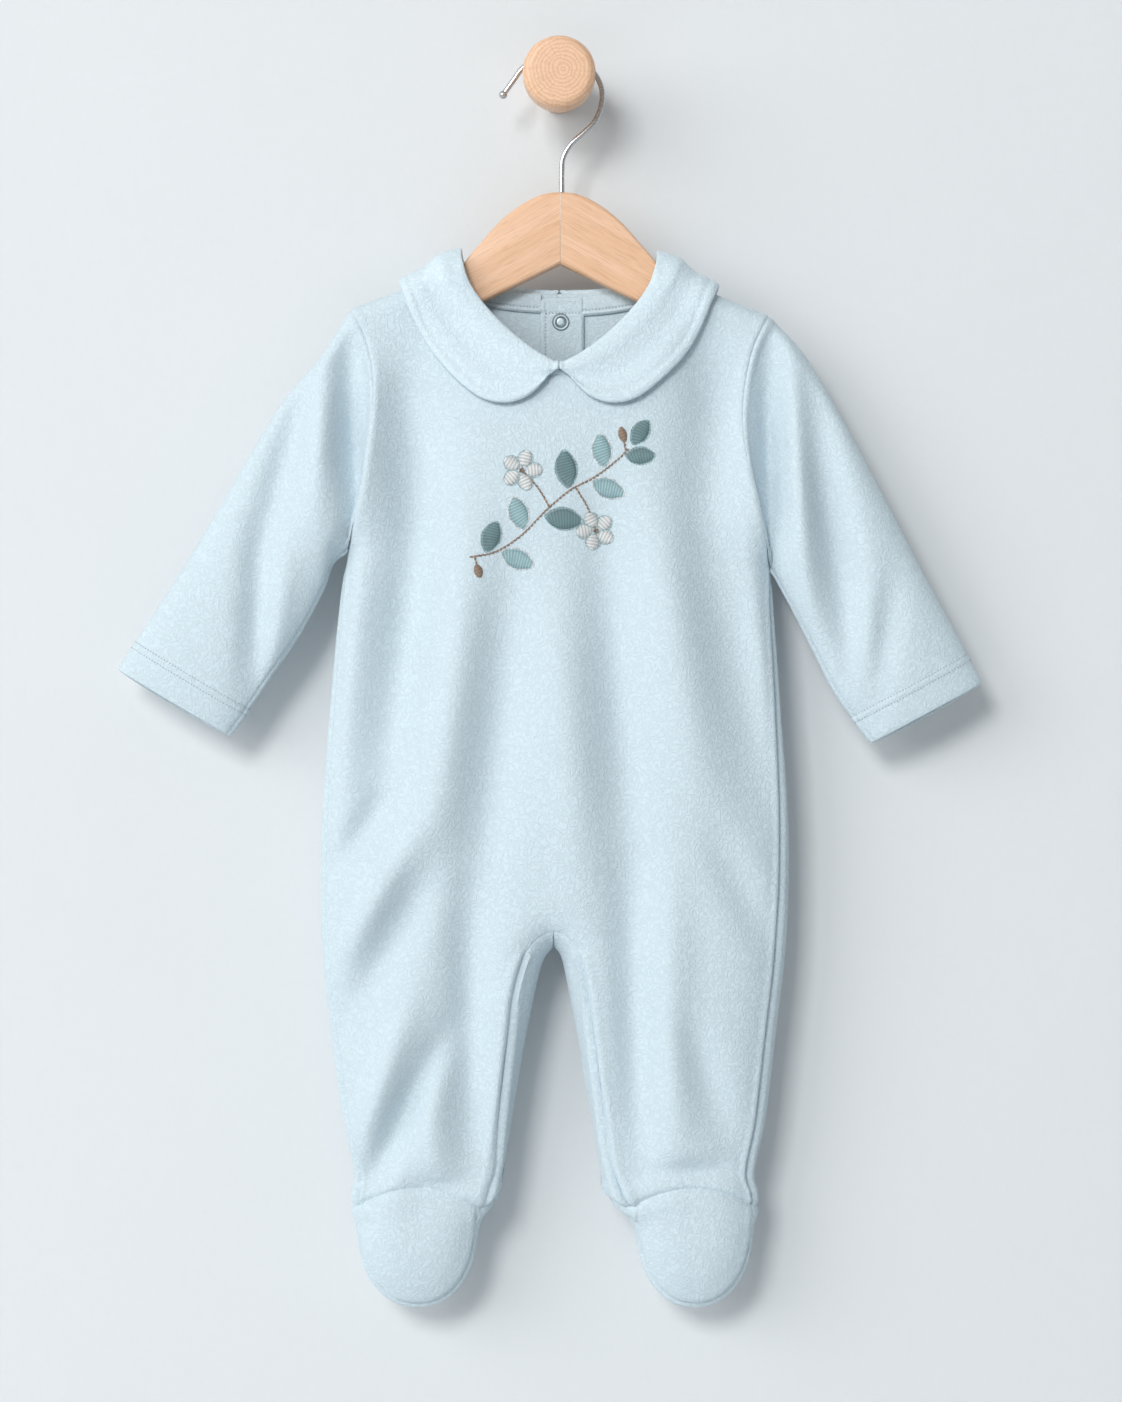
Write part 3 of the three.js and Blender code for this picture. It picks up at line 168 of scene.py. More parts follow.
# Rows of a foot: degrees round the toe at the row's ends, and how far in front of the outline
# the seam lies there.
FOOT_ROWS = table("row turn seam", [
    (0, 0, 3.4), (1, 4, 2.6), (2, 17, 1.4), (3, 31, 0.5), (4, 45, 0), (5, 57, 0), (6, 68, 0),
])

# Soft folds: a trough (negative) or ridge along an arc between two points, whose middle is
# pushed sideways by "bow"; "wide" is its half width and "deep" its height.
BODY_FOLDS = {
    1: table("x1 z1 x2 z2 bow wide deep", [
        # chest, beside the armholes
        (-99, -125, -102, -230, 0, 9, 4), (-80, -130, -82, -230, 0, 13, -5),
        (84, -108, 86, -240, 0, 18, -11),
        # long falls from the chest to the hips
        (-70, -180, -97, -405, 0, 17, -19), (-107, -200, -121, -405, 0, 9, 6),
        (-46, -255, -70, -440, 0, 15, 6), (-23, -250, -48, -480, 0, 16, -9),
        (0, -285, 12, -450, 0, 15, 5), (22, -215, 41, -450, 0, 15, -9),
        (52, -215, 76, -390, 0, 15, 5), (70, -195, 114, -410, 0, 17, -8),
        (104, -240, 122, -400, 0, 8, 7),
        # slanting creases at the hips and knees
        (-90, -382, -124, -428, 0, 8, -6), (-72, -395, -118, -475, 0, 10, 7),
        (-66, -420, -117, -512, 0, 12, -8), (80, -400, 116, -470, 0, 11, -5),
        (-60, -508, -106, -602, 0, 8, -10), (-76, -490, -116, -590, 0, 9, 7),
        (62, -490, 98, -590, 0, 11, -4),
        # down the legs
        (-48, -440, -47, -595, 0, 11, -10), (-70, -520, -66, -592, 0, 9, 4),
        (38, -425, 43, -605, 0, 12, -9), (58, -430, 62, -585, 0, 12, 6),
        # over the ankles
        (-86, -592, -46, -594, 0, 6, -5), (50, -588, 94, -586, 0, 7, -5),
    ]),
    -1: table("x1 z1 x2 z2 bow wide deep", [
        (-76, -190, -94, -380, 4, 14, -4.6), (72, -180, 92, -370, -4, 14, -4.6),
        (-34, -400, -46, -560, 0, 12, -4.2), (30, -330, 44, -480, 3, 14, -4.0),
        (-62, -470, -92, -585, 0, 9, -4.4), (58, -480, 88, -582, 0, 9, -4.8),
        (-60, -300, -68, -400, 0, 15, 2.4), (62, -290, 70, -400, 0, 15, 2.4),
    ]),
}
SLEEVE_FOLDS = {
    (-1, 1): table("x1 z1 x2 z2 bow wide deep", [
        (-114, -134, -106, -262, 0, 9, -16), (-126, -132, -131, -250, 0, 9, 6),
        (-133, -148, -161, -258, 0, 10, -9), (-160, -240, -164, -338, 0, 9, -8),
        (-146, -262, -156, -330, 0, 8, 4),
    ]),
    (1, 1): table("x1 z1 x2 z2 bow wide deep", [
        (113, -132, 114, -272, 0, 8, -16), (124, -142, 134, -305, 0, 8, 6),
        (134, -155, 162, -340, 0, 11, -10), (166, -275, 163, -340, 0, 8, 4),
        (180, -262, 168, -338, 0, 9, -4),
    ]),
    (-1, -1): table("x1 z1 x2 z2 bow wide deep", [
        (-122, -170, -128, -240, 0, 9, -4.2), (-150, -230, -168, -320, 3, 10, -4.6),
    ]),
    (1, -1): table("x1 z1 x2 z2 bow wide deep", [
        (124, -176, 130, -246, 0, 9, -4.2), (154, -230, 166, -318, -3, 10, -4.6),
    ]),
}

# Collar leaf: outer edge from centre front over the shoulder to centre back. Face 0 is the
# shoulder line.
COLLAR_EDGE = table("round across z face", [
    (0.00, 4.8, -159.8, 1), (0.06, 10.0, -166.4, 1), (0.13, 17.8, -172.0, 1),
    (0.21, 28.2, -174.6, 1), (0.29, 40.0, -172.2, 1), (0.37, 51.6, -163.6, 1),
    (0.45, 62.8, -151.4, 1), (0.53, 73.6, -135.4, 1), (0.60, 80.6, -120.0, 1),
    (0.65, 83.2, 0, 0), (0.70, 81.0, -121.0, -1), (0.77, 72.0, -138.0, -1),
    (0.84, 57.0, -149.5, -1), (0.91, 38.0, -154.0, -1), (0.96, 19.0, -150.5, -1),
    (1.00, 7.0, -139.0, -1),
])
LEAF = 2.7             # thickness of a leaf, two layers of cloth
NECK_SHARE = 0.65      # where along the leaf the shoulder line crosses the neck
LEAF_ENDS = 0.7        # half the space between the leaves at both centres
# Height of the roll over the neck seam, and of the leaf's edge over the body.
ROLL_FRONT, ROLL_SIDE, ROLL_BACK = 6.4, 7.6, 6.0
EDGE_LIFT, RIDGE_LIFT, BACK_LIFT = 5.4, 0.2, 1.2
SHOULDER_LEAN = 2.4    # how far the stand leans over the arm at the shoulder line
BESIDE_ARM, FRONT_CLEAR = 0.12, 0.3    # width of that lean, and the stand's gap at the front
LEAF_TAPER = 0.012     # share of the leaf in which it thins to its two ends
# The stand's control points, from the seam to the roll: for the upper surface towards the
# neck hole and up, the share of the roll, and the same two for the under surface.
STAND = ((2.7, -0.8, 0, 0.7, -0.8), (3.0, -2.8, 1, 0.5, -4.2), (1.7, -0.5, 1, 0.2, -2.9))
LEAF_CROWN = ((0.16, 0.1), (0.34, -1.1), (0.54, -1.7), (0.76, -0.5), (1.0, 0.0))  # share, height

CLOTH, LAY_GAP, STRIP = 1.6, 0.35, 1.1     # knit, space under a strip, and a strip's thickness
BINDING_WIDE, BINDING_OUTER, BINDING_THICK = 9.5, 47.0, 0.9
BINDING_DROP = 0.6                         # from the neck edge
BINDING_STITCH = 0.74                      # where across the binding its stitches run
PLACKET_ROUND, PLACKET_ROW, PLACKET_SIDE = 3.0, 7.6, 2.4    # corners; stitches from the edges
PLACKET_LEFT, PLACKET_RIGHT, PLACKET_TOP, PLACKET_END = -9.7, 13.0, -116.2, -392.0
SNAP_X, SNAP_TOP, SNAP_PITCH, SNAP_COUNT = 0.8, -128.6, 61.0, 5
SNAP_GAP = 0.3                             # from a strip to its snap
# Snaps: radius and height of the ring, of the eye in it and of the cap.
SNAP_RING = ((2.5, 0.1), (2.5, 0.85), (2.95, 0.85), (3.1, 0.5), (4.0, 0.5), (4.15, 0.85),
             (4.6, 0.8), (4.7, 0.1), (2.5, 0.1))
SNAP_EYE = ((0, 0.42), (0.9, 0.42), (1.9, 0.4), (2.2, 0.3), (2.45, 0.12), (2.5, 0.0), (0, 0.0))
SNAP_CAP = ((0, 0), (4.75, 0.0), (4.75, 0.5), (3.3, 1.2), (0, 1.5))

ARM_X, ARM_HALF, ARM_UNDER = 0.6, 5.2, 4.8        # middle, half thickness, gap to the cloth
ARM_NECK, ARM_TIP, TIP_LONG = 52.0, 96.0, 5.5     # where the cloth and the tip begin; its length
ARM_MEET = 0.12                                   # from the joint to each arm's end
ARM_ROUND, ARM_GRAIN = 2.4, math.radians(30)      # rounding of its edges, slope of its grain
# Hanger arm: distance from the middle, top and underside.
ARM = table("out top under", [
    (0.0, -60.1, -99.0), (7.0, -60.7, -102.4), (14.0, -63.0, -105.8), (23.0, -68.2, -110.2),
    (33.0, -76.4, -115.1), (43.5, -88.2, -120.2), (51.0, -97.0, -123.9), (53.4, -101.6, -125.1),
    (58.0, -104.0, -127.3), (66.0, -106.0, -131.2), (76.0, -110.0, -135.8),
    (86.0, -114.0, -139.6), (94.0, -118.0, -141.0), (99.0, -124.0, -139.0),
    (101.5, -128.5, -134.0),
])
WIRE, BALL = 1.5, 2.3          # radii
# The hook's middle line, x and z, from the wood to its end.
HOOK = np.array([
    (1.4, -59.7), (1.4, -48), (2.2, -41), (6.2, -34), (12.6, -28.2), (18.4, -22.6),
    (22.4, -14.2), (23.2, -5), (19.8, 3.4), (13.2, 9.8), (4.6, 13.4), (-4.4, 13.8),
    (-13.2, 11.8), (-20, 7), (-25, 0.2), (-29.2, -5.6),
], float)
# Peg: radius and distance from the wall, from the middle of its back to that of its front.
PEG = ((0, 0), (12.0, 0), (12.0, 38.5), (14.0, 41.2), (17.0, 42.0), (19.4, 44.6), (19.4, 59.2),
       (16.6, 62.0), (0, 62.0))

# ------------------------------------------------------------------------------ arithmetic


def lerp(a, b, t):
    """From a to b by a share: a + (b - a)t."""
    return a + (b - a) * t


def smooth(t):
    """A step from 0 to 1 with level ends: 3t^2 - 2t^3."""
    c = np.clip(t, 0, 1)
    return c * c * (3 - 2 * c)


def bell(d, wide):
    """A bell curve of half width "wide": exp(-(d / wide)^2)."""
    return np.exp(-(d / wide) ** 2)


def read(rows, key, column, at):
    """A column of a table at values of its key: on each interval the cubic whose end slopes
    are those of the chords to the neighbours on both sides."""
    k, v = rows[key], rows[column]
    at = np.asarray(at, float)
    way = 1 if k[-1] > k[0] else -1
    last = len(k) - 1
    i = np.clip(np.searchsorted(way * k, way * at, side="left") - 1, 0, last - 1)
    below, above = np.maximum(i - 1, 0), np.minimum(i + 2, last)
    span = k[i + 1] - k[i]
    t = np.clip((at - k[i]) / span, 0, 1)
    start = (v[i + 1] - v[below]) / (k[i + 1] - k[below]) * span
    end = (v[above] - v[i]) / (k[above] - k[i]) * span
    rise = v[i + 1] - v[i]
    return v[i] + start * t + (3 * rise - 2 * start - end) * t**2 + (start + end - 2 * rise) * t**3


def through(points, at):
    """The same cubic through whole points, read at fractional places along the first axis."""
    places = np.arange(len(points), dtype=float)
    flat = np.asarray(points, float).reshape(len(points), -1)
    rows = [read({"k": places, "v": column}, "k", "v", at) for column in flat.T]
    return np.stack(rows, -1).reshape((len(at),) + np.shape(points)[1:])


ARC_STEPS = 8          # chords that stand for a bowed arc


def to_arc(x, z, x1, z1, x2, z2, bow=0.0):
    """Distance from points to the parabola between two ends whose middle is pushed sideways,
    as the least distance to its chords, and the share of the way along it."""
    share = np.linspace(0, 1, ARC_STEPS + 1 if bow else 2)
    run, fall = x2 - x1, z2 - z1
    length = math.hypot(run, fall)
    side = 4 * bow * share * (1 - share)
    px = x1 + run * share - fall / length * side
    pz = z1 + fall * share + run / length * side
    best, along = np.full(np.shape(x), np.inf), np.zeros(np.shape(x))
    for a, b in zip(range(len(share) - 1), range(1, len(share))):
        dx, dz = px[b] - px[a], pz[b] - pz[a]
        t = np.clip(((x - px[a]) * dx + (z - pz[a]) * dz) / (dx * dx + dz * dz), 0, 1)
        away = np.hypot(x - px[a] - dx * t, z - pz[a] - dz * t)
        along = np.where(away < best, lerp(share[a], share[b], t), along)
        best = np.minimum(best, away)
    return best, along


def unit(v):
    """Vectors brought to length 1."""
    return v / np.maximum(np.linalg.norm(v, axis=-1, keepdims=True), 1e-9)


def arc_length(points, axis, from_end=False):
    """Length of cloth from the first (or last) row of a grid, along the given axis."""
    steps = np.linalg.norm(np.diff(points, axis=axis), axis=-1)
    run = np.concatenate([np.zeros_like(np.take(steps, [0], axis)), np.cumsum(steps, axis)], axis)
    return np.take(run, [-1], axis) - run if from_end else run


# ------------------------------------------------------------------------------ the body


def fullness(q):
    """How full the garment is at a share q of the way in from an edge: it rises from 0 with an
    upright start, (1 - (1 - q)^2.4)^(1/1.9)."""
    return (1 - (1 - np.clip(q, 0, 1)) ** 2.4) ** (1 / 1.9)


def ridge_z(x):
    """Height of the shoulder line: two slopes rounded into each other, lifted at the neck."""
    run = TIP_X - np.hypot(x, CROWN)
    lift = smooth((LIFT_FROM - np.abs(x)) / (LIFT_FROM - LIFT_TO))
    return TIP_Z + SLOPE * run + TILT * x + NECK_LIFT * lift


def edge_x(side, z):
    """Outer edge of the body, which opens out into the sleeve above the underarm."""
    low = np.minimum(z, UNDERARM[side])
    above = z - low
    return read(TRUNK, "z", SIDES[side], low) + side * above**2 / (above + UNDERARM_EASE)


def seam_in(side, z):
    """How far in front of the outer edge the side seam lies, nothing at the underarm."""
    start = smooth((UNDERARM[side] - z) / 20)
    return read(TRUNK, "z", "seam_" + SIDES[side], z) * start


def centre_x(z):
    """The centre line drifts evenly from the neck to the crotch."""
    return CROTCH_X * np.clip((CENTRE_TOP - z) / CENTRE_FALL, 0, 1)


def fork_distance(x, z):
    """Distance to the inner edges of both legs."""
    nearest = np.full(np.broadcast(x, z).shape, np.inf)
    for column in ("left", "right"):
        for i in range(1, len(FORK["z"])):
            away, _ = to_arc(x, z, FORK[column][i - 1], FORK["z"][i - 1],
                             FORK[column][i], FORK["z"][i])
            nearest = np.minimum(nearest, away)
    return nearest


def fold_height(x, z, folds):
    """Sum of the folds in a table: each a bell curve across, fading to its ends."""
    total = 0.0
    for x1, z1, x2, z2, bow, wide, deep in zip(*folds.values()):
        away, along = to_arc(x, z, x1, z1, x2, z2, bow)
        total = total + deep * bell(away, wide) * (0.25 + 0.75 * np.sin(np.pi * along))
    return total


def body_depth(x, z, face):
    """Depth of the cloth from the middle plane: a quarter circle over the hanger, then a soft
    fall to the full depth, plus the folds, closing to nothing at the outer edges and the
    fork."""
    front = face > 0
    full = np.where(front, read(TRUNK, "z", "front", z), read(TRUNK, "z", "back", z))
    edge = read(TRUNK, "z", "edge", z)
    fall = np.maximum(ridge_z(x) - z, 0)
    rolled = np.sqrt(np.maximum(RIDGE**2 - np.maximum(RIDGE - fall, 0) ** 2, 0))
    hung = rolled + (full - RIDGE) * smooth((fall - RIDGE) / SETTLE)
    folds = np.where(front, fold_height(x, z, BODY_FOLDS[1]), fold_height(x, z, BODY_FOLDS[-1]))
    folds = folds * smooth(fall / 60)
    sides = fullness((x - edge_x(-1, z)) / edge) * fullness((edge_x(1, z) - x) / edge)
    return (hung + folds) * sides * fullness(fork_distance(x, z) / FORK_EDGE)


def body_point(x, z, face):
    """The body's surface over a place across and a height: its depth from the middle plane."""
    x, z, face = np.broadcast_arrays(np.asarray(x, float), np.asarray(z, float), face)
    return np.stack([x, MID_Y - face * body_depth(x, z, face), z], -1)


def armhole_point(side, down, face):
    """The armhole seam by the share of the way down; the back's lies a sine further out."""
    top = side * ARMHOLE[SIDES[side]][0]
    z = lerp(ridge_z(top), UNDERARM[side], down)
    out = 0 if face > 0 else BACK_ARMHOLE_OUT * np.sin(np.pi * down)
    x = side * (read(ARMHOLE, "down", SIDES[side], down) + out)
    return np.where(down < 1, x, edge_x(side, z)), z


def neck_point(side, turn, face):
    """The neck edge, a superellipse quarter: turn 0 on the shoulder line, 1 on the centre."""
    power = 2 / NECK_SHAPE[face]
    angle = np.pi / 2 * turn
    x = side * NECK_HALF * np.maximum(np.cos(angle), 0) ** power
    level = (ridge_z(NECK_HALF) + ridge_z(-NECK_HALF)) / 2
    start = lerp(ridge_z(side * NECK_HALF), level, turn)
    return np.where(turn < 1, x, 0), start - NECK_FALL[face] * np.sin(angle) ** power


def top_point(side, w, face):
    """Upper edge of a body panel by share w: the shoulder, then the neck."""
    tip = armhole_point(side, np.array(0.0), face)[0]
    shoulder_x = lerp(tip, side * NECK_HALF, np.clip(w / NECK_CORNER, 0, 1))
    neck_x, neck_z = neck_point(side, np.clip((w - NECK_CORNER) / (1 - NECK_CORNER), 0, 1), face)
    on_shoulder = w <= NECK_CORNER
    return (np.where(on_shoulder, shoulder_x, neck_x),
            np.where(on_shoulder, ridge_z(shoulder_x), neck_z))


def column_share(u, leg):
    """Share of the way from the outer edge inwards: close-set at the outer edge, 1 - cos(u
    pi/2), and on a leg at both, (1 - cos(u pi))/2."""
    return (1 - leg) * (1 - np.cos(np.pi * u / 2)) + leg * (1 - np.cos(np.pi * u)) / 2


def yoke_grid(side, face, u, v):
    """The panel above the chest: the sum of a sheet between the shoulder and chest lines and
    one between armhole and centre line, less the sheet through the four corners."""
    w = column_share(u, 0.0)
    w[np.argmin(np.abs(w - NECK_CORNER))] = NECK_CORNER
    w, v = w[None, :], v[:, None]
    under = [float(a) for a in armhole_point(side, np.array(1.0), face)]
    neck = [float(a) for a in top_point(side, np.array(1.0), face)]
    tip = [float(a) for a in top_point(side, np.array(0.0), face)]
    chest = [float(centre_x(CHEST_Z)), CHEST_Z]
    out = []
    for k, (top, outer) in enumerate(zip(top_point(side, w, face), armhole_point(side, v, face))):
        low = lerp(under[k], chest[k], w)
        inner = lerp(neck[k], chest[k], v)
        corners = (1 - v) * lerp(tip[k], neck[k], w) + v * low
        out.append((1 - v) * top + v * low + lerp(outer, inner, w) - corners)
    return out


def lower_rows(side, face, u, r):
    """The panel below the chest, row by row: x, z and face of each point. A back row starts on
    the side seam, rounds the outer edge, and on a leg rounds the fork to the inseam."""
    r = r[:, None]
    leg = r > CROTCH_ROW
    trunk, legs = np.minimum(r, CROTCH_ROW), np.maximum(r, CROTCH_ROW)
    chest = {k: np.concatenate([[s], CHEST_ROWS[k]]) for k, s in
             (("row", 0), ("outer", UNDERARM[side]), ("front", CHEST_Z), ("back", CHEST_Z))}
    at_chest = lambda name: read(chest, "row", name, trunk)
    at_leg = lambda name: read(LEG_ROWS, "row", name, legs)
    outer = np.where(leg, at_leg("outer"), at_chest("outer"))
    rise = np.where(leg, at_leg("rise"), 0)
    edge, inset = edge_x(side, outer), seam_in(side, outer)
    crowd = np.clip(r / CROTCH_ROW, 0, 1)
    if face > 0:
        share = column_share(u[None, :], crowd)
        end_z = np.where(leg, at_leg("seam"), at_chest("front"))
        end_x = np.where(leg, at_leg(SIDES[side]), centre_x(end_z))
        x = lerp(edge - side * inset, end_x, share)
        z = lerp(outer, end_z, share) + rise * (1 - (2 * share - 1) ** 2)
        x[:, -1:], z[:, -1:] = end_x, end_z
        return x, z, np.ones_like(x)
    wrap = np.maximum(OUTER_WRAP * np.sqrt(inset / WRAP_AT), 1e-6)
    turn_in = np.clip(r - CROTCH_ROW + 1, 0, 1)
    low = turn_in > 0
    q = lerp(-wrap, 1 + INNER_WRAP * turn_in, u[None, :])
    share = column_share(np.clip(q, 0, 1), crowd)
    fork_z = np.where(leg, at_leg("fork"), np.where(low, lerp(CROTCH_BACK, FORK_TOP, turn_in),
                                                    at_chest("back")))
    fork_x = np.where(low, read(FORK, "z", SIDES[side], fork_z), centre_x(fork_z))
    seam_z = np.where(leg, at_leg("seam"), lerp(CROTCH_BACK, CROTCH_FRONT, turn_in))
    seam_x = np.where(leg, at_leg(SIDES[side]), CROTCH_X)
    x = lerp(edge, fork_x, share)
    z = lerp(outer, fork_z, share) + HEEL_RISE * rise * (1 - (2 * share - 1) ** 2)
    beyond = np.clip((q - 1) / INNER_WRAP / np.maximum(turn_in, 1e-6), 0, 1) ** 2
    inner = (q > 1) & low
    x = np.where(inner, lerp(fork_x, seam_x, beyond), x)
    z = np.where(inner, lerp(fork_z, seam_z, beyond), z)
    outside = q < 0
    x = np.where(outside, edge - side * inset * (q / wrap) ** 2, x)
    z = np.where(outside, outer, z)
    return x, z, np.where(outside | inner, 1.0, -1.0)


# Columns across a panel, and steps down its yoke and between the rows of the tables.
COLUMNS = 66
YOKE_STEPS = 58
ROW_STEPS = np.array([9, 11, 11, 10, 10, 9, 8, 7, 6, 6, 6, 7, 8, 10, 12, 12, 10, 12])


def fine_rows():
    """Places between the tables' rows: each row's span in its own number of even steps."""
    steps = [np.linspace(i, i + 1, n, endpoint=False) for i, n in enumerate(ROW_STEPS)]
    rows = np.concatenate(steps + [[float(ANKLE_ROW)]])
    into = np.clip(rows - ANKLE_ROW + 1, 0, 1)
    close = ANKLE_ROW - 1 + (1 - (1 - into) ** 1.6)       # close-set at the ankle seam
    return np.where(into > 0, close, rows)


def body_grid(side, face):
    """All points of half a body panel, from the shoulder down to the ankle."""
    u = np.linspace(0, 1, COLUMNS + 1)
    v = 1 - np.cos(np.pi / 2 * np.linspace(0, 1, YOKE_STEPS + 1))
    x, z = yoke_grid(side, face, u, v)
    faces = np.full_like(x, face)
    low_x, low_z, low_face = lower_rows(side, face, u, fine_rows()[1:])
    x, z, faces = (np.concatenate(p) for p in ((x, low_x), (z, low_z), (faces, low_face)))
    return body_point(x, z, faces)


def seam_relief(away, deep, wide=1.0, swell=0.3):
    """Height over the cloth at a distance from a seam: a bell-shaped dip with a low swell
    beside it."""
    return swell * bell(away - 3.2, 1.9) - deep * bell(away, wide)


# ------------------------------------------------------------------------------ sleeves, feet


def sleeve_grid(side, rings, around):
    """Rings from the armhole to the cuff. A ring is an oval between the sleeve's top and bottom
    edge, of depth |sin|^SLEEVE_ROUND, and near the armhole it takes the seam's own scoop and
    depth."""
    turn = np.linspace(0, 2 * np.pi, around + 1)[None, :]
    s = np.linspace(0, 1, rings + 1) ** 1.12
    s = (lerp(s, 1 - (1 - s) ** 1.25, smooth(s)))[:, None]
    across = -np.cos(turn)
    share = (1 + across) / 2
    front = turn <= np.pi
    face = np.where(front, 1.0, -1.0)
    seams = []
    for f in (1, -1):
        x, z = armhole_point(side, share, f)
        seams.append(body_point(x, z, f))
    seam = np.where(front[..., None], seams[0], seams[1])
    at = lambda name: read(SLEEVE[side], "s", name, s)
    keep = smooth(1 - s / SLEEVE_SETTLE)
    tip, under = seam[:, :1], seam[:, around // 2:around // 2 + 1]
    scoop = seam[..., 0] - lerp(tip[..., 0], under[..., 0], share)
    x = lerp(at("top_x"), at("low_x"), share) + scoop * keep
    z = lerp(at("top_z"), at("low_z"), share)
    sine = np.abs(np.sin(turn))
    own = np.where(front, at("front"), at("back")) * sine**SLEEVE_ROUND
    folds = np.where(front, fold_height(x, z, SLEEVE_FOLDS[side, 1]),
                     fold_height(x, z, SLEEVE_FOLDS[side, -1]))
    folds = folds * sine**0.7 * smooth(s / 0.03) * smooth((1 - s) / 0.06)
    depth = lerp(own, np.abs(seam[..., 1] - MID_Y), keep) + folds
    peep = np.where(front, 0, BACK_PEEP) * sine * smooth((s - 0.85) / 0.15)
    lean = unit(np.array([(at(c)[-1] - at(c)[-9])[0] for c in ("top_x", "top_z")]))
    grid = np.stack([x + lean[0] * peep, MID_Y - face * depth, z + lean[1] * peep], -1)
    grid[0] = seam[0]
    grid[:, -1] = grid[:, 0]
    return grid


def foot_depth(side, across, z, face):
    """Depth of a foot from the middle plane, by how near it is to its superellipse outline."""
    half = FOOT[side][1]
    reach = np.minimum(np.abs(across) / half, 1) ** FOOT_SHAPE
    drop = np.maximum(FOOT_TOP - z, 0) / FOOT_DROP
    radial = (reach + drop**FOOT_SHAPE) ** (1 / FOOT_SHAPE)
    full = np.where(face > 0, FOOT_DEPTH[1], FOOT_DEPTH[-1])
    return full * fullness(np.maximum((1 - radial) * half - 1e-6, 0) / FOOT_EDGE)


def foot_grid(side, ankle, face, rows):
    """A foot panel from the ankle seam to its outline. Each row runs between two points of the
    outline and bends towards it, and the first rows ease into the ankle seam."""
    middle, half = FOOT[side]
    power = 2 / FOOT_SHAPE
    i = (TOE_ROW * (1 - (1 - np.linspace(0, 1, rows + 1)) ** 1.25))[:, None]
    turn = np.radians(read(FOOT_ROWS, "row", "turn", i))
    seam = np.maximum(read(FOOT_ROWS, "row", "seam", i), 0)
    end_half = half * np.cos(turn) ** power
    end_z = FOOT_TOP - FOOT_DROP * np.sin(turn) ** power
    bend = (i / TOE_ROW) ** 2
    wrap = np.maximum(OUTER_WRAP * np.sqrt(seam / WRAP_AT), 1e-6)
    u = np.linspace(0, 1, COLUMNS + 1)[None, :]
    q = u + 0 * i if face > 0 else lerp(-wrap, 1 + wrap, u)
    beyond = np.maximum(np.maximum(-q, q - 1), 0)
    even = column_share(np.clip(q, 0, 1), 1.0)
    inset = seam * np.abs(1 - 2 * even) if face > 0 else seam * (beyond / wrap) ** 2
    across = side * (end_half * (1 - 2 * even) - np.sign(0.5 - u) * inset)
    reach = (np.abs(across) / half) ** FOOT_SHAPE
    outline = FOOT_TOP - FOOT_DROP * np.maximum(1 - reach, 0) ** (1 / FOOT_SHAPE)
    z = lerp(end_z, outline, bend)
    faces = np.where(beyond > 0, 1.0, face)
    x = middle + across
    y = MID_Y - faces * foot_depth(side, across, z, faces)
    grid = np.stack([x, y, z], -1)
    fade = np.clip(1 - i / 1.6, 0, 1)[..., None] ** 2
    grid = grid + (ankle[None] - grid[:1]) * fade
    return grid


# ------------------------------------------------------------------------------ collar


def drape_point(x, length):
    """The body near the shoulder by distance across and length of cloth from the shoulder
    line, positive down the front."""
    far, quarter = np.abs(length), RIDGE * np.pi / 2
    fall = np.where(far < quarter, RIDGE * (1 - np.cos(np.minimum(far, quarter) / RIDGE)),
                    RIDGE + far - quarter)
    return body_point(x, ridge_z(x) - fall, np.where(length < 0, -1.0, 1.0))


def drape_normal(x, length):
    """Outward normal of the body: the cross product of short steps along and across."""
    step = 0.6
    along_x = drape_point(x + step, length) - drape_point(x - step, length)
    along = drape_point(x, length + step) - drape_point(x, length - step)
    return unit(np.cross(along, along_x))


def length_of(x, z, face):
    """Length of cloth from the shoulder line down to a height: an arc, then a straight fall."""
    fall, quarter = np.maximum(ridge_z(x) - z, 0), RIDGE * np.pi / 2
    near = RIDGE * np.arccos(np.clip(1 - fall / RIDGE, -1, 1))
    return face * np.where(fall < RIDGE, near, quarter + fall - RIDGE)


def collar_base(side, round_):
    """The leaf's inner edge, on the neck edge: distance across and length of cloth."""
    front = round_ <= NECK_SHARE
    turn = np.where(front, 1 - round_ / NECK_SHARE, (round_ - NECK_SHARE) / (1 - NECK_SHARE))
    ahead, behind = neck_point(side, turn, 1), neck_point(side, turn, -1)
    x, z = np.where(front, ahead[0], behind[0]), np.where(front, ahead[1], behind[1])
    return x, length_of(x, z, np.where(front, 1, -1))


def collar_outer(side, round_):
    """The leaf's outer edge from its table: distance across and length of cloth."""
    x = side * COLLAR_EDGE["across"]
    z = np.where(COLLAR_EDGE["face"] == 0, ridge_z(x), COLLAR_EDGE["z"])
    rows = {"round": COLLAR_EDGE["round"], "x": x, "length": length_of(x, z, COLLAR_EDGE["face"])}
    return read(rows, "round", "x", round_), read(rows, "round", "length", round_)


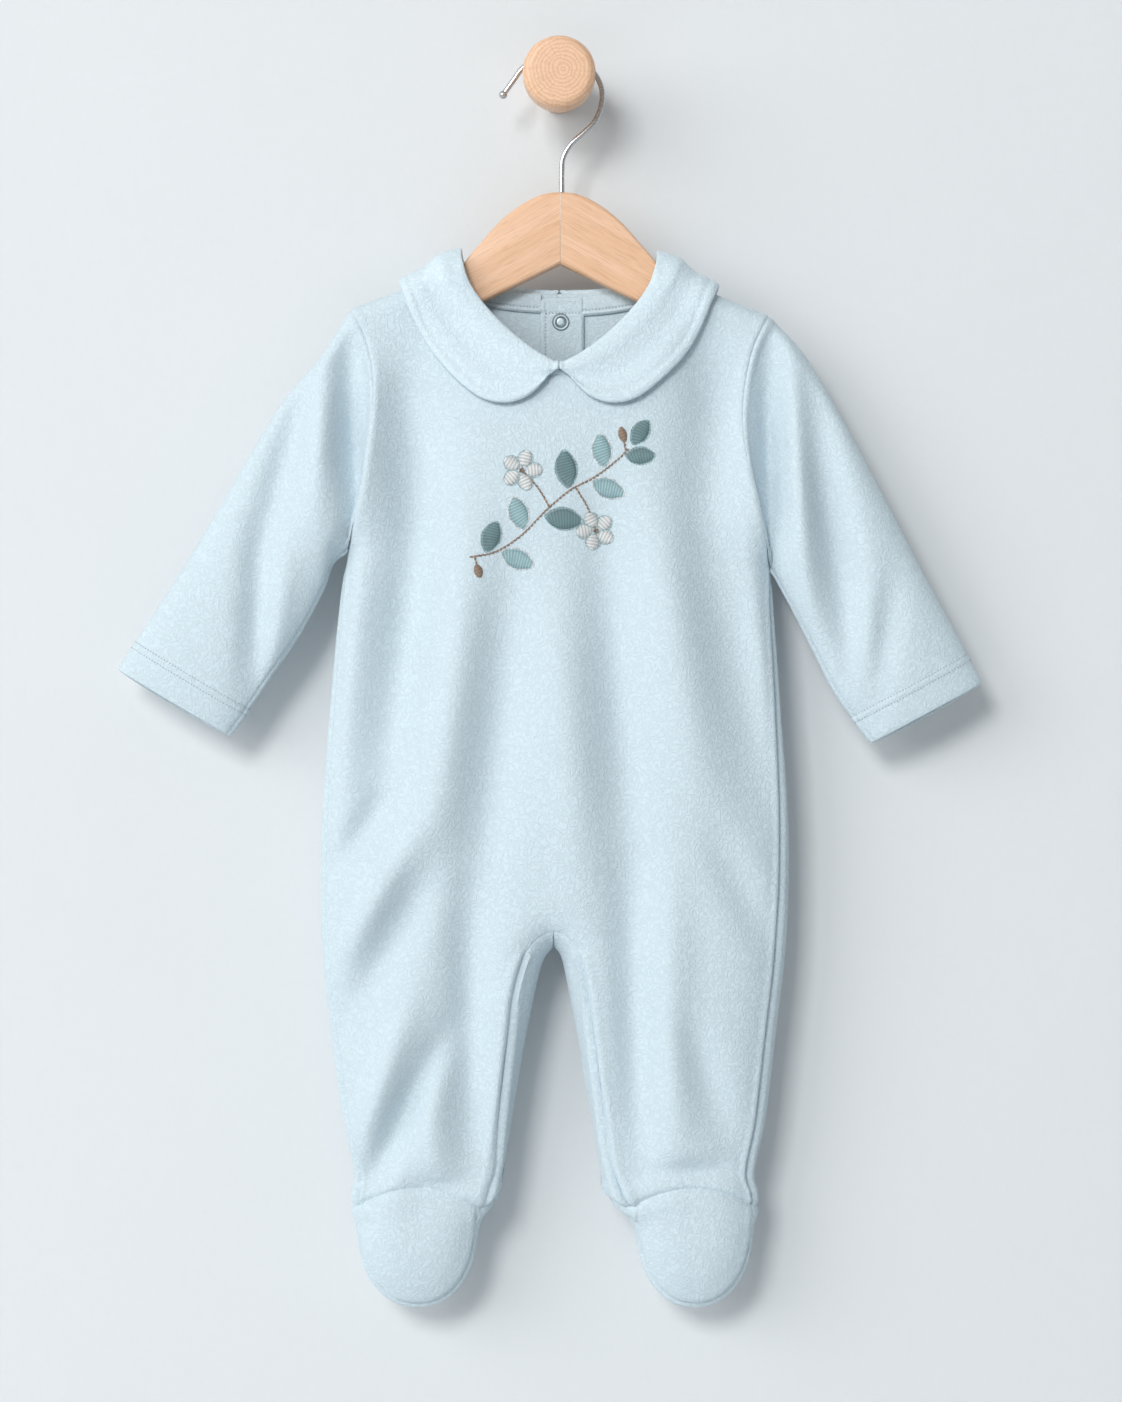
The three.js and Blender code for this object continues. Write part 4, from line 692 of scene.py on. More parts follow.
def collar_controls(side, round_):
    """Cross-sections of a leaf, as control points of its upper and under surface: it stands on
    the neck seam, rolls over and lies on the body to its edge."""
    base_x, base_length = collar_base(side, round_)
    edge_at, edge_length = collar_outer(side, round_)
    before = lerp(ROLL_FRONT, ROLL_SIDE, smooth((round_ / NECK_SHARE - 0.45) / 0.55))
    after = lerp(ROLL_SIDE, ROLL_BACK, smooth((round_ - NECK_SHARE) / (1 - NECK_SHARE)))
    roll = np.where(round_ < NECK_SHARE, before, after)[:, None]
    seam, out = drape_point(base_x, base_length), drape_normal(base_x, base_length)
    ahead = drape_point(*collar_base(side, np.minimum(round_ + 0.03, 1)))
    behind = drape_point(*collar_base(side, np.maximum(round_ - 0.03, 0)))
    hole = unit(np.cross(unit(ahead - behind), out)) * -side
    clear = FRONT_CLEAR * bell(round_, 0.08)[:, None]
    by_arm = bell(round_ - NECK_SHARE, BESIDE_ARM)[:, None]
    out = unit(lerp(out, np.array([0.0, 0.0, 1.0]), 0.9 * by_arm))
    lean = SHOULDER_LEAN * by_arm
    close = np.clip(np.minimum(round_, 1 - round_)[:, None] / LEAF_TAPER, 0, 1)
    leaf = LEAF * np.sqrt(np.clip(1 - (1 - close) ** 2, 0.02, 1))
    upper, under = [], []
    for towards, up, rolled, within, below in STAND:
        over = clear + lean * (0.5 + 0.5 * rolled)
        upper.append(seam + hole * (towards + over) + out * (up + rolled * roll))
        under.append(seam + hole * (within + over) + out * (below + rolled * roll))
    bulk = bell(edge_length, 15) * RIDGE_LIFT
    low = (EDGE_LIFT + bulk + BACK_LIFT * smooth((round_ - 0.8) / 0.12))[:, None]
    for q, crown in LEAF_CROWN:
        x, length = lerp(base_x, edge_at, q), lerp(base_length, edge_length, q)
        lift = np.maximum(low + (roll - low) * (1 - q**2), low) + crown
        point, normal = drape_point(x, length), drape_normal(x, length)
        upper.append(point + normal * lift)
        under.append(point + normal * (lift - LEAF - min(crown, 0) * 0.4))
    upper, under = np.array(upper), np.array(under)
    middle = (upper + under) / 2
    half = (upper - under) / 2 * (leaf / LEAF)[None]
    upper, under = middle + half, middle - half
    for points in (upper, under):
        points[..., 0] = side * np.maximum(side * points[..., 0], LEAF_ENDS)
    return upper, under


# ------------------------------------------------------------------------------ meshes


def tidy_faces(faces):
    """Faces as lists without repeated corners, leaving out those that have shrunk to a line."""
    faces = np.asarray(faces)
    repeated = (faces == np.roll(faces, 1, axis=1)).any(axis=1)
    whole = faces[~repeated].tolist()
    for face in faces[repeated].tolist():
        corners = [c for k, c in enumerate(face) if c != face[k - 1]]
        if len(set(corners)) > 2:
            whole.append(corners)
    return whole


def grid_faces(rows, columns, first=0, flip=False, close_rows=False, close_columns=False):
    """Quads of a grid of points; closing joins its last row or column to its first."""
    i = np.arange(rows if close_rows else rows - 1)[:, None]
    j = np.arange(columns if close_columns else columns - 1)[None, :]
    below, right = (i + 1) % rows, (j + 1) % columns
    corners = [i * columns + j, below * columns + j, below * columns + right, i * columns + right]
    quads = np.stack([np.broadcast_to(c, (i.size, j.size)).ravel() for c in corners], -1) + first
    return quads[:, ::-1] if flip else quads


def vertex_normals(points, quads):
    """Normals at the points: the sum of the cross products of the faces' diagonals."""
    p = points[quads]
    cross = np.cross(p[:, 2] - p[:, 0], p[:, 3] - p[:, 1])
    total = np.zeros_like(points)
    for k in range(4):
        np.add.at(total, quads[:, k], cross)
    return unit(total)


def volume(mesh):
    """Signed volume: a sixth of the sum of each triangle's corners' triple product. It is
    negative where the faces point inwards."""
    mesh.calc_loop_triangles()
    corners = np.zeros(len(mesh.loop_triangles) * 3, np.int32)
    mesh.loop_triangles.foreach_get("vertices", corners)
    places = np.zeros(len(mesh.vertices) * 3, np.float32)
    mesh.vertices.foreach_get("co", places)
    a, b, c = places.reshape(-1, 3)[corners.reshape(-1, 3)].astype(float).transpose(1, 0, 2)
    return np.sum(np.cross(a, b) * c) / 6


def new_object(name, points, faces, material, flat_angle=None, closed=True):
    """A smooth mesh object at the origin, from points in millimetres. The faces of a closed one
    are turned outwards if they point in."""
    mesh = bpy.data.meshes.new(name)
    mesh.from_pydata((np.asarray(points) * 0.001).tolist(), [], faces)
    if closed and volume(mesh) < 0:
        mesh.flip_normals()
    mesh.polygons.foreach_set("use_smooth", [True] * len(mesh.polygons))
    if flat_angle:
        mesh.set_sharp_from_angle(angle=math.radians(flat_angle))
    mesh.materials.append(material)
    mesh.update()
    piece = bpy.data.objects.new(name, mesh)
    bpy.context.scene.collection.objects.link(piece)
    return piece


LIP = 3                # rings of points round a border's lip


class Sheet:
    """A piece of cloth gathered from grids of points, and closed into a thin shell."""

    def __init__(self):
        self.points, self.relief, self.quads, self.count = [], [], [], 0

    def grid(self, points, relief, flip):
        """Adds a grid of points with the height of its relief at each."""
        rows, columns = points.shape[:2]
        self.quads.append(grid_faces(rows, columns, self.count, flip))
        self.points.append(points.reshape(-1, 3))
        self.relief.append(np.broadcast_to(relief, (rows, columns)).ravel())
        self.count += rows * columns
        return self

    def shell(self, wall):
        """Merges points that fall together, raises each by its relief, and offsets a second
        surface inwards. Border edges, which only one face has, get a half-round lip."""
        points, relief = np.concatenate(self.points), np.concatenate(self.relief)
        keys = np.round(points * 50).astype(np.int64)
        _, first, place = np.unique(keys, axis=0, return_index=True, return_inverse=True)
        points, relief = points[first], relief[first]
        quads = place.ravel()[np.concatenate(self.quads)]
        points = points + vertex_normals(points, quads) * relief[:, None]
        normals = vertex_normals(points, quads)
        inner = points - normals * wall
        count = len(points)
        edges = np.concatenate([quads[:, [k, (k + 1) % 4]] for k in range(4)])
        edges = edges[edges[:, 0] != edges[:, 1]]
        codes, back = edges[:, 0] * count + edges[:, 1], edges[:, 1] * count + edges[:, 0]
        border = edges[~np.isin(codes, back)]
        rim, place = np.unique(border, return_inverse=True)
        place = place.reshape(border.shape)
        along = points[border[:, 1]] - points[border[:, 0]]
        outward = np.zeros((len(rim), 3))
        for k in range(2):
            np.add.at(outward, place[:, k], -np.cross(normals[border[:, k]], along))
        outward = unit(outward)
        middle, half = (points[rim] + inner[rim]) / 2, (points[rim] - inner[rim]) / 2
        rings, layers = [rim], []
        for k in range(1, LIP + 1):
            angle = math.pi * k / (LIP + 1)
            rings.append(2 * count + (k - 1) * len(rim) + np.arange(len(rim)))
            layers.append(middle + half * math.cos(angle)
                          + outward * (wall / 2 * math.sin(angle)))
        rings.append(rim + count)
        faces = [quads, quads[:, ::-1] + count]
        for upper, lower in zip(rings[:-1], rings[1:]):
            a, b = place[:, 0], place[:, 1]
            faces.append(np.stack([upper[b], upper[a], lower[a], lower[b]], -1))
        return np.concatenate([points, inner] + layers), tidy_faces(np.concatenate(faces))


def tube(route, radius, sides):
    """Rings of a round section carried along a route, closed by a face at both ends."""
    ahead = unit(np.gradient(route, axis=0))
    side = unit(np.cross(ahead, np.array((0.0, 1.0, 0.0))))
    third = np.cross(side, ahead)
    turn = np.linspace(0, 2 * np.pi, sides, endpoint=False)[None, :, None]
    section = np.cos(turn) * side[:, None] + np.sin(turn) * third[:, None]
    points = route[:, None] + radius * section
    faces = grid_faces(len(route), sides, close_columns=True).tolist()
    last = (len(route) - 1) * sides
    faces += [list(range(sides)), list(range(last + sides - 1, last - 1, -1))]
    return points.reshape(-1, 3), faces


STRAND_SIDES, STRAND_STEPS = 6, 5
STRAND = STRAND_SIDES * (STRAND_STEPS + 1)       # points in one thread


def strands(ends_a, ends_b, normals, radius, rise, sink=0.15):
    """Short threads from one set of points to another, arched by "rise" and dipping into the
    cloth at both ends: centre line a + (b - a)p + normal (rise sin(pi p) - sink)."""
    p = np.linspace(0, 1, STRAND_STEPS + 1)[None, :, None]
    a, b, n = ends_a[:, None], ends_b[:, None], normals[:, None]
    rise = np.broadcast_to(rise, (len(ends_a),))[:, None, None]
    route = a + (b - a) * p + n * (rise * np.sin(np.pi * p) ** 0.7 - sink)
    side = unit(np.cross(b - a, n))
    turn = np.linspace(0, 2 * np.pi, STRAND_SIDES, endpoint=False)
    thick = radius * (0.55 + 0.45 * np.sin(np.pi * p))[..., None]
    points = route[:, :, None] + thick * (np.cos(turn)[:, None] * side[:, :, None]
                                          + np.sin(turn)[:, None] * n[:, :, None])
    one = grid_faces(STRAND_STEPS + 1, STRAND_SIDES, close_columns=True, flip=True)
    first = (np.arange(len(ends_a)) * STRAND)[:, None]
    faces = (one[None] + first[..., None]).reshape(-1, 4).tolist()
    cap, far = np.arange(STRAND_SIDES)[::-1], np.arange(STRAND - STRAND_SIDES, STRAND)
    faces += (cap[None] + first).tolist() + (far[None] + first).tolist()
    return points.reshape(-1, 3), faces


SEWN = 0.95, 0.85      # length and gap of the sewing stitches


def stitch_row(path, normals, length, gap, radius):
    """A row of stitches along a path: threads of even length with small gaps."""
    run = arc_length(path, 0)
    starts = np.arange(gap, run[-1] - length, length + gap)
    at = lambda values, where: np.stack([np.interp(where, run, c) for c in values.T], -1)
    return strands(at(path, starts), at(path, starts + length), unit(at(normals, starts)),
                   radius, 0.32, sink=0.12)


def join(parts):
    """One set of points and faces from several."""
    points, faces, count = [], [], 0
    for p, f in parts:
        points.append(p)
        faces += [[c + count for c in face] for face in f]
        count += len(p)
    return np.concatenate(points), faces


# ------------------------------------------------------------------------------ finishes


class Value:
    """A node's output socket that can be used in sums."""

    def __init__(self, finish, socket):
        self.finish, self.socket = finish, socket

    def sum(self, operation, *others):
        """A Math node of these values."""
        return self.finish.node("ShaderNodeMath", {"operation": operation}, dict(enumerate(others)))

    def __add__(self, other):
        return self.sum("ADD", self, other)

    def __radd__(self, other):
        return self.sum("ADD", other, self)

    def __mul__(self, other):
        return self.sum("MULTIPLY", self, other)

    def __rmul__(self, other):
        return self.sum("MULTIPLY", other, self)

    def __pow__(self, other):
        return self.sum("POWER", self, other)

    def __rpow__(self, other):
        return self.sum("POWER", other, self)


class Finish:
    """A material and the nodes that make it."""

    def __init__(self, name, **constants):
        self.material = bpy.data.materials.new(name)
        self.material.use_nodes = True
        self.tree = self.material.node_tree
        self.shader = self.tree.nodes["Principled BSDF"]
        for socket, value in constants.items():
            self.shader.inputs[socket.replace("_", " ")].default_value = value

    def node(self, kind, settings=None, inputs=None, output=0):
        """Adds a node: its settings first, then the values or links of its sockets."""
        made = self.tree.nodes.new(kind)
        for name, value in (settings or {}).items():
            setattr(made, name, value)
        for name, value in (inputs or {}).items():
            if isinstance(value, Value):
                self.tree.links.new(value.socket, made.inputs[name])
            else:
                made.inputs[name].default_value = value
        return Value(self, made.outputs[output])

    def place(self, turn=(0, 0, 0), move=(0, 0, 0)):
        """Object coordinates, moved and turned."""
        at = self.node("ShaderNodeTexCoord", output="Object")
        return self.node("ShaderNodeMapping", {"vector_type": "TEXTURE"},
                         {"Vector": at, "Location": move, "Rotation": turn})

    def noise(self, at, scale, detail, rough, distortion=0.0):
        """Cloudy noise from 0 to 1."""
        return self.node("ShaderNodeTexNoise", None, {
            "Vector": at, "Scale": scale, "Detail": detail, "Roughness": rough,
            "Distortion": distortion}, "Fac")

    def spread(self, value, low, high, to_low=0.0, to_high=1.0):
        """A value between low and high, spread to another range and held there."""
        return self.node("ShaderNodeMapRange", {"clamp": True}, {
            "Value": value, "From Min": low, "From Max": high, "To Min": to_low,
            "To Max": to_high})

    def mix(self, factor, first, second):
        """A colour between two by a factor."""
        return self.node("ShaderNodeMix", {"data_type": "RGBA"},
                         {0: factor, 6: first, 7: second}, 2)

    def attribute(self, name):
        """A value stored on the mesh."""
        return self.node("ShaderNodeAttribute", {"attribute_name": name}, output="Fac")

    def bump(self, height, strength, distance):
        """A normal from a height, whose distance is in metres."""
        return self.node("ShaderNodeBump", None,
                         {"Height": height, "Strength": strength, "Distance": distance})

    def feed(self, **values):
        """Links values to the shader's sockets, and returns the finished material."""
        for socket, value in values.items():
            self.tree.links.new(value.socket, self.shader.inputs[socket.replace("_", " ")])
        return self.material


def shade(colour, factor):
    """A colour made darker or lighter by a factor."""
    return tuple(min(c * factor, 1) for c in colour[:3]) + (1.0,)


def brushed_knit(name, colour, nap, bright=1.0):
    """Brushed knit: short curled pile, paler on its tips and darker in its hollows, a painted
    shade of the pile, and paler in broad worn patches."""
    f = Finish(name, Roughness=0.92, Sheen_Weight=0.35, Sheen_Roughness=0.45,
               Sheen_Tint=(0.88, 0.96, 1.0, 1.0), Specular_IOR_Level=0.18)
    at = f.place()
    turns = f.noise(at, 330, 1, 0.4, 0.5) * 22
    curl = turns.sum("SINE", turns) * 0.5 + 0.5
    pile = f.noise(at, 620, 3, 0.62, 1.2)
    fine = f.noise(at, 1700, 2, 0.6)
    patch = f.noise(at, 30, 3, 0.5)
    height = curl * 0.3 + pile * 0.45 + fine * 0.25
    # Painted shade: the pile's colour follows its height, darker in the hollows and paler on the
    # tips.
    tips_and_painted_shade = f.spread(height, 0.33, 0.69)
    base = f.mix(tips_and_painted_shade, shade(colour, 0.94 * bright), shade(colour, 1.06 * bright))
    cloudy = f.mix(f.spread(patch, 0.38, 0.62), base, shade(colour, 1.05 * bright))
    worn = f.mix(0.2, base, cloudy)
    return f.feed(Base_Color=worn, Normal=f.bump(height, nap, 0.0005),
                  Roughness=f.spread(tips_and_painted_shade, 0, 1, 0.97, 0.86))


def thread(name, colour, rough=0.45, painted_shade=True):
    """Twisted embroidery thread, with fine plies along it; where asked, some threads are also
    painted darker than others, a painted shade for the dark gaps between stitches."""
    f = Finish(name, Roughness=rough, Sheen_Weight=0.2, Specular_IOR_Level=0.4)
    at = f.place()
    plies = f.noise(at, 2600, 2, 0.5)
    tone = f.noise(at, 260, 2, 0.5)
    colours = f.mix(f.spread(tone * 0.5 + plies * 0.5, 0.35, 0.65),
                    shade(colour, 0.84), shade(colour, 1.1))
    if painted_shade:
        # Painted shade: threads whose tone is low are darkened.
        colours = f.mix(f.attribute("tone"), f.mix(0.8, colours, shade(colour, 0.5)), colours)
    return f.feed(Base_Color=colours, Normal=f.bump(plies, 0.5, 0.0002))


def board_wood(name, pale, dark, slope):
    """Straight-grained pale hardwood: long fine streaks that follow the arm's slope, broad
    bands of colour and short dark flecks."""
    f = Finish(name, Roughness=0.42, Coat_Weight=0.12, Coat_Roughness=0.3,
               Specular_IOR_Level=0.4)
    at = f.place(turn=(0, slope, 0))
    along = f.node("ShaderNodeMapping", None, {"Vector": at, "Scale": (34, 400, 1300)})
    broad = f.node("ShaderNodeMapping", None, {"Vector": at, "Scale": (9, 60, 170)})
    flecks_at = f.node("ShaderNodeMapping", None, {"Vector": at, "Scale": (110, 700, 2400)})
    streaks = f.noise(along, 1.0, 4, 0.6, 0.4)
    bands = f.noise(broad, 1.0, 2, 0.5, 0.8)
    flecks = f.noise(flecks_at, 1.0, 1, 0.5)
    tone = f.mix(f.spread(bands, 0.35, 0.65, 0, 0.55), pale, shade(dark, 1.15))
    lined = f.mix(f.spread(streaks, 0.46, 0.7, 0, 0.5), tone, dark)
    flecked = f.mix(f.spread(flecks, 0.56, 0.7, 0, 0.4), lined, shade(dark, 0.8))
    return f.feed(Base_Color=flecked, Normal=f.bump(streaks * 0.7 + flecks * 0.3, 0.18, 0.0003),
                  Roughness=f.spread(streaks, 0.3, 0.7, 0.38, 0.5))


def turned_wood(name, pale, dark, centre):
    """End grain of a turned knob: uneven rings round a centre off the middle, crossed by fine
    rays, with the long grain showing on its rim."""
    f = Finish(name, Roughness=0.45, Coat_Weight=0.12, Coat_Roughness=0.3,
               Specular_IOR_Level=0.4)
    at = f.place(move=centre)
    rings = f.node("ShaderNodeTexWave",
                   {"wave_type": "RINGS", "rings_direction": "Y", "wave_profile": "SIN"},
                   {"Vector": at, "Scale": 150, "Distortion": 6, "Detail": 3,
                    "Detail Scale": 1.2, "Detail Roughness": 0.6}, "Fac")
    x, z = (f.node("ShaderNodeSeparateXYZ", None, {"Vector": at}, axis) for axis in "XZ")
    angle = f.node("ShaderNodeMath", {"operation": "ARCTAN2"}, {0: z, 1: x})
    radius = (x * x + z * z) ** 0.5
    polar = f.node("ShaderNodeCombineXYZ", None, {"X": angle * 13, "Y": radius * 60})
    rays = f.noise(polar, 1.0, 3, 0.6, 0.2)
    pores = f.noise(at, 900, 2, 0.6)
    tone = f.mix(f.spread(rings, 0.2, 0.9, 0, 0.5), pale, dark)
    rayed = f.mix(f.spread(rays, 0.5, 0.72, 0, 0.5), tone, shade(dark, 0.92))
    pored = f.mix(f.spread(pores, 0.58, 0.7, 0, 0.35), rayed, shade(dark, 0.78))
    return f.feed(Base_Color=pored, Normal=f.bump(rays * 0.5 + pores * 0.5, 0.2, 0.0003))


def drawn_steel(name, colour, rough=0.26, painted_shade=False):
    """Drawn or pressed metal with fine rub marks; where asked, it is darker where its tone is low,
    a painted shade.
    """
    f = Finish(name, Metallic=1.0, Roughness=rough)
    at = f.place()
    rubs = f.noise(at, 900, 3, 0.6, 0.6)
    colours = f.mix(f.spread(rubs, 0.35, 0.65), shade(colour, 0.9), colour)
    if painted_shade:
        # Painted shade: where the tone is low the metal is darkened.
        colours = f.mix(f.attribute("tone"), shade(colour, 0.3), colours)
    return f.feed(Base_Color=colours,
                  Roughness=f.spread(rubs, 0.35, 0.65, rough - 0.05, rough + 0.1),
                  Normal=f.bump(rubs, 0.12, 0.0002))


def plaster(name, colour):
    """Matt painted plaster, faintly uneven, seen from its front only."""
    f = Finish(name, Roughness=0.96, Specular_IOR_Level=0.1)
    at = f.place()
    rolled = f.noise(at, 240, 4, 0.6)
    broad = f.noise(at, 5, 3, 0.5)
    tone = f.mix(f.spread(broad, 0.35, 0.65), shade(colour, 0.985), colour)
    f.feed(Base_Color=f.mix(f.spread(rolled, 0.3, 0.7, 0, 0.5), tone, shade(colour, 0.97)),
           Normal=f.bump(rolled, 0.08, 0.0006))
    clear = f.node("ShaderNodeBsdfTransparent")
    behind = f.node("ShaderNodeNewGeometry", output="Backfacing")
    seen = f.node("ShaderNodeMixShader", None,
                  {0: behind, 1: Value(f, f.shader.outputs[0]), 2: clear})
    f.tree.links.new(seen.socket, f.tree.nodes["Material Output"].inputs["Surface"])
    return f.material


def finish(name):
    """The named finish, made the first time that it is asked for."""
    if name in bpy.data.materials:
        return bpy.data.materials[name]
    s = bpy.context.scene.jumpsuit
    cloth, wood, dark = (tuple(c) + (1.0,) for c in (s.cloth_colour, s.wood_pale, s.wood_dark))
    makers = {
        "brushed_cloth": lambda: brushed_knit(name, cloth, s.nap),
        # The collar's knit is a 9% lighter copy of the body's: a painted highlight for the light
        # its raised leaves catch.
        "lit_collar_cloth": lambda: brushed_knit(name, cloth, s.nap, 1.09),
        "rib_cloth": lambda: brushed_knit(name, cloth, 0.6 * s.nap, 0.97),
        # Sewing thread darker than the cloth: a painted shade for the needle holes along each row
        # of stitches.
        "seam_thread_painted_shade": lambda: thread(name, shade(cloth, 0.62), 0.6, False),
        "leaf_dark_thread": lambda: thread(name, tuple(s.leaf_dark) + (1.0,)),
        "leaf_pale_thread": lambda: thread(name, tuple(s.leaf_pale) + (1.0,)),
        "petal_thread": lambda: thread(name, tuple(s.petal_white) + (1.0,)),
        "stem_thread": lambda: thread(name, tuple(s.stem_tan) + (1.0,)),
        "left_arm_wood": lambda: board_wood(name, wood, dark, -ARM_GRAIN),
        "right_arm_wood": lambda: board_wood(name, wood, dark, ARM_GRAIN),
        "peg_wood": lambda: turned_wood(name, wood, dark, (0.002, 0, 0.001)),
        "hook_steel": lambda: drawn_steel(name, (0.62, 0.62, 0.63, 1)),
        "snap_steel": lambda: drawn_steel(name, (0.55, 0.66, 0.71, 1), 0.5, True),
        "wall_paint": lambda: plaster(name, tuple(s.wall_colour) + (1.0,)),
    }
    return makers[name]()


# ------------------------------------------------------------------------------ the pieces


def declare(piece, node):
    """Sets a piece to ride on the one body, and hides the solid that it stands for."""
    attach(piece, "root")
    if node:
        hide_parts(node)


def cloth_piece(name, sheet, flat, area, **more):
    """A hung piece of the brushed knit, which stands for the solid of its name."""
    wall = bpy.context.scene.jumpsuit.cloth_wall * 1000
    points, faces = sheet.shell(wall)
    piece = new_object(name + "_cloth", points, faces, finish("brushed_cloth"), 55)
    declare(piece, name)


def panel_relief(grid, side, face):
    """Relief of a body panel: its seams at the armhole or side, shoulder, ankle and inseam, and
    the front's neck seam between the collar leaves."""
    s = bpy.context.scene.jumpsuit
    deep = s.seam_depth * 1000
    outer = arc_length(grid, 1)
    inner = arc_length(grid, 1, True)
    down = arc_length(grid, 0)
    up = arc_length(grid, 0, True)
    x, z = grid[..., 0], grid[..., 2]
    shoulder = np.abs(x) > NECK_HALF - 1
    leg = smooth((CROTCH_BACK + 1 - z) / 6)
    below = smooth((UNDERARM[side] - grid[:, :1, 2]) / 15)
    relief = lerp(seam_relief(outer, 1.2 * deep, 0.8, 0.25),
                  seam_relief(outer, 2.4 * deep, 1.4, 0.9), below)
    relief = relief + seam_relief(up, 1.5 * deep, 1.1, 0.5) + 1.2 * bell(up - 7, 4)
    relief = relief + (seam_relief(inner, 1.5 * deep, 1.1, 0.5) + 1.0 * bell(inner - 4, 3)) * leg
    relief = relief + np.where(shoulder, seam_relief(down, 0.4, 0.9, 0.1), 0)
    if face > 0:
        low = smooth((-440 - z) / 15)
        away = fork_distance(x, z)
        relief = relief + (1.3 * bell(away - 3.4, 1.8) - 0.8 * bell(away - 7.5, 1.8)) * low
        between = smooth((V_SEAM_HALF - np.abs(x)) / 3)
        relief = relief - 0.6 * bell(z - V_SEAM_Z, 0.6) * between
        relief = relief + 0.5 * bell(z - V_SEAM_Z - 2.3, 1.5) * between
    else:
        shut = smooth((PLACKET_END + 4 - z) / 8)
        relief = relief + seam_relief(inner, 0.6) * shut * (1 - leg)
    return relief


def make_front():
    """The front, from both halves of its grid merged along the centre line."""
    sheet = Sheet()
    for side in (-1, 1):
        grid = body_grid(side, 1)
        sheet.grid(grid, panel_relief(grid, side, 1), side > 0)
    cloth_piece("front_panel", sheet, (0.262, 0.545), 0.105)


def make_backs():
    """Two back panels, which meet under the placket."""
    for side in (-1, 1):
        grid = body_grid(side, -1)
        sheet = Sheet().grid(grid, panel_relief(grid, side, -1), side < 0)
        name = "back_panel_" + SIDES[side]
        cloth_piece(name, sheet, (0.145, 0.545), 0.0615)


SLEEVE_RINGS, SLEEVE_AROUND = 104, 132


def sleeve_relief(grid):
    """Relief of a sleeve: the armhole seam, a dip under each row of the cuff's twin stitching
    and the doubled hem below them."""
    s = bpy.context.scene.jumpsuit
    down, up = arc_length(grid, 0), arc_length(grid, 0, True)
    relief = seam_relief(down, s.seam_depth * 1000)
    for row in HEM_ROWS:
        relief = relief - 0.24 * bell(up - row, 0.6)
    relief = relief + 0.34 * bell(up - sum(HEM_ROWS) / 2, 1.0)
    relief = relief + 0.3 * smooth((HEM_ROWS[1] - up) / 1.5) - 0.25 * bell(up, 1.2)
    x, z, half = grid[..., 0], grid[..., 2], grid.shape[1] // 2
    away = np.hypot(x - x[:, half:half + 1], z - z[:, half:half + 1])
    on_front = (np.arange(grid.shape[1]) < half)[None, :]
    return relief + on_front * (0.4 * bell(away - 0.5, 0.6) - 0.5 * bell(away - 1.6, 0.5))


def ring_at(grid, relief, distance):
    """The line round a sleeve at a distance of cloth from its cuff, and the normals there."""
    up = arc_length(grid, 0, True)
    normals = unit(np.cross(np.gradient(grid, axis=0), np.gradient(grid, axis=1)))
    normals *= np.sign(np.sum(normals * (grid - grid.mean(1, keepdims=True))))
    raised = grid + normals * relief[..., None]
    columns = range(grid.shape[1])
    at = lambda values: np.array([[np.interp(distance, up[::-1, j], values[::-1, j, k])
                                   for k in range(3)] for j in columns])
    return at(raised), unit(at(normals))


def make_sleeves():
    """Each sleeve and the twin rows of stitches on its cuff."""
    for side in (-1, 1):
        grid = sleeve_grid(side, SLEEVE_RINGS, SLEEVE_AROUND)
        relief = sleeve_relief(grid)
        name = "sleeve_" + SIDES[side]
        rows = []
        for distance in HEM_ROWS:
            path, normals = ring_at(grid, relief, distance)
            rows.append(stitch_row(path, normals, *SEWN, 0.25))
        stitches = new_object(name + "_hem_stitches", *join(rows), finish("seam_thread_painted_shade"))
        declare(stitches, None)
        sheet = Sheet().grid(grid, relief, side > 0)
        cloth_piece(name, sheet, (0.190, 0.235), 0.0305, with_pieces=[stitches])


FOOT_STEPS = 34


def make_feet():
    """An upper and a sole for each foot; the upper has a raised rim and a fine line inside it."""
    for side in (-1, 1):
        for face, part in ((1, "foot_upper_"), (-1, "foot_sole_")):
            ankle = body_grid(side, face)[-1]
            grid = foot_grid(side, ankle, face, FOOT_STEPS)
            deep = bpy.context.scene.jumpsuit.seam_depth * 1000
            down = arc_length(grid, 0)
            relief = seam_relief(down, 1.3 * deep, 1.0, 0.5) + 0.9 * bell(down - 6, 4)
            if face > 0:
                middle, half = FOOT[side]
                reach = (np.abs(grid[..., 0] - middle) / half) ** FOOT_SHAPE
                fall = (np.maximum(FOOT_TOP - grid[..., 2], 0) / FOOT_DROP) ** FOOT_SHAPE
                near = (1 - (reach + fall) ** (1 / FOOT_SHAPE)) * half
                rim = 0.6 * bell(near - 0.4, 0.5) - 0.9 * bell(near - 1.6, 0.45)
                relief = relief + (rim + 0.5 * bell(near - 3.6, 1.6)) * smooth(down / 4)
            sheet = Sheet().grid(grid, relief, (side > 0) == (face > 0))
            cloth_piece(part + SIDES[side], sheet, (0.076, 0.066), 0.0041)


LEAF_ROUNDS, LEAF_ACROSS, LEAF_LIP = 110, 44, 7


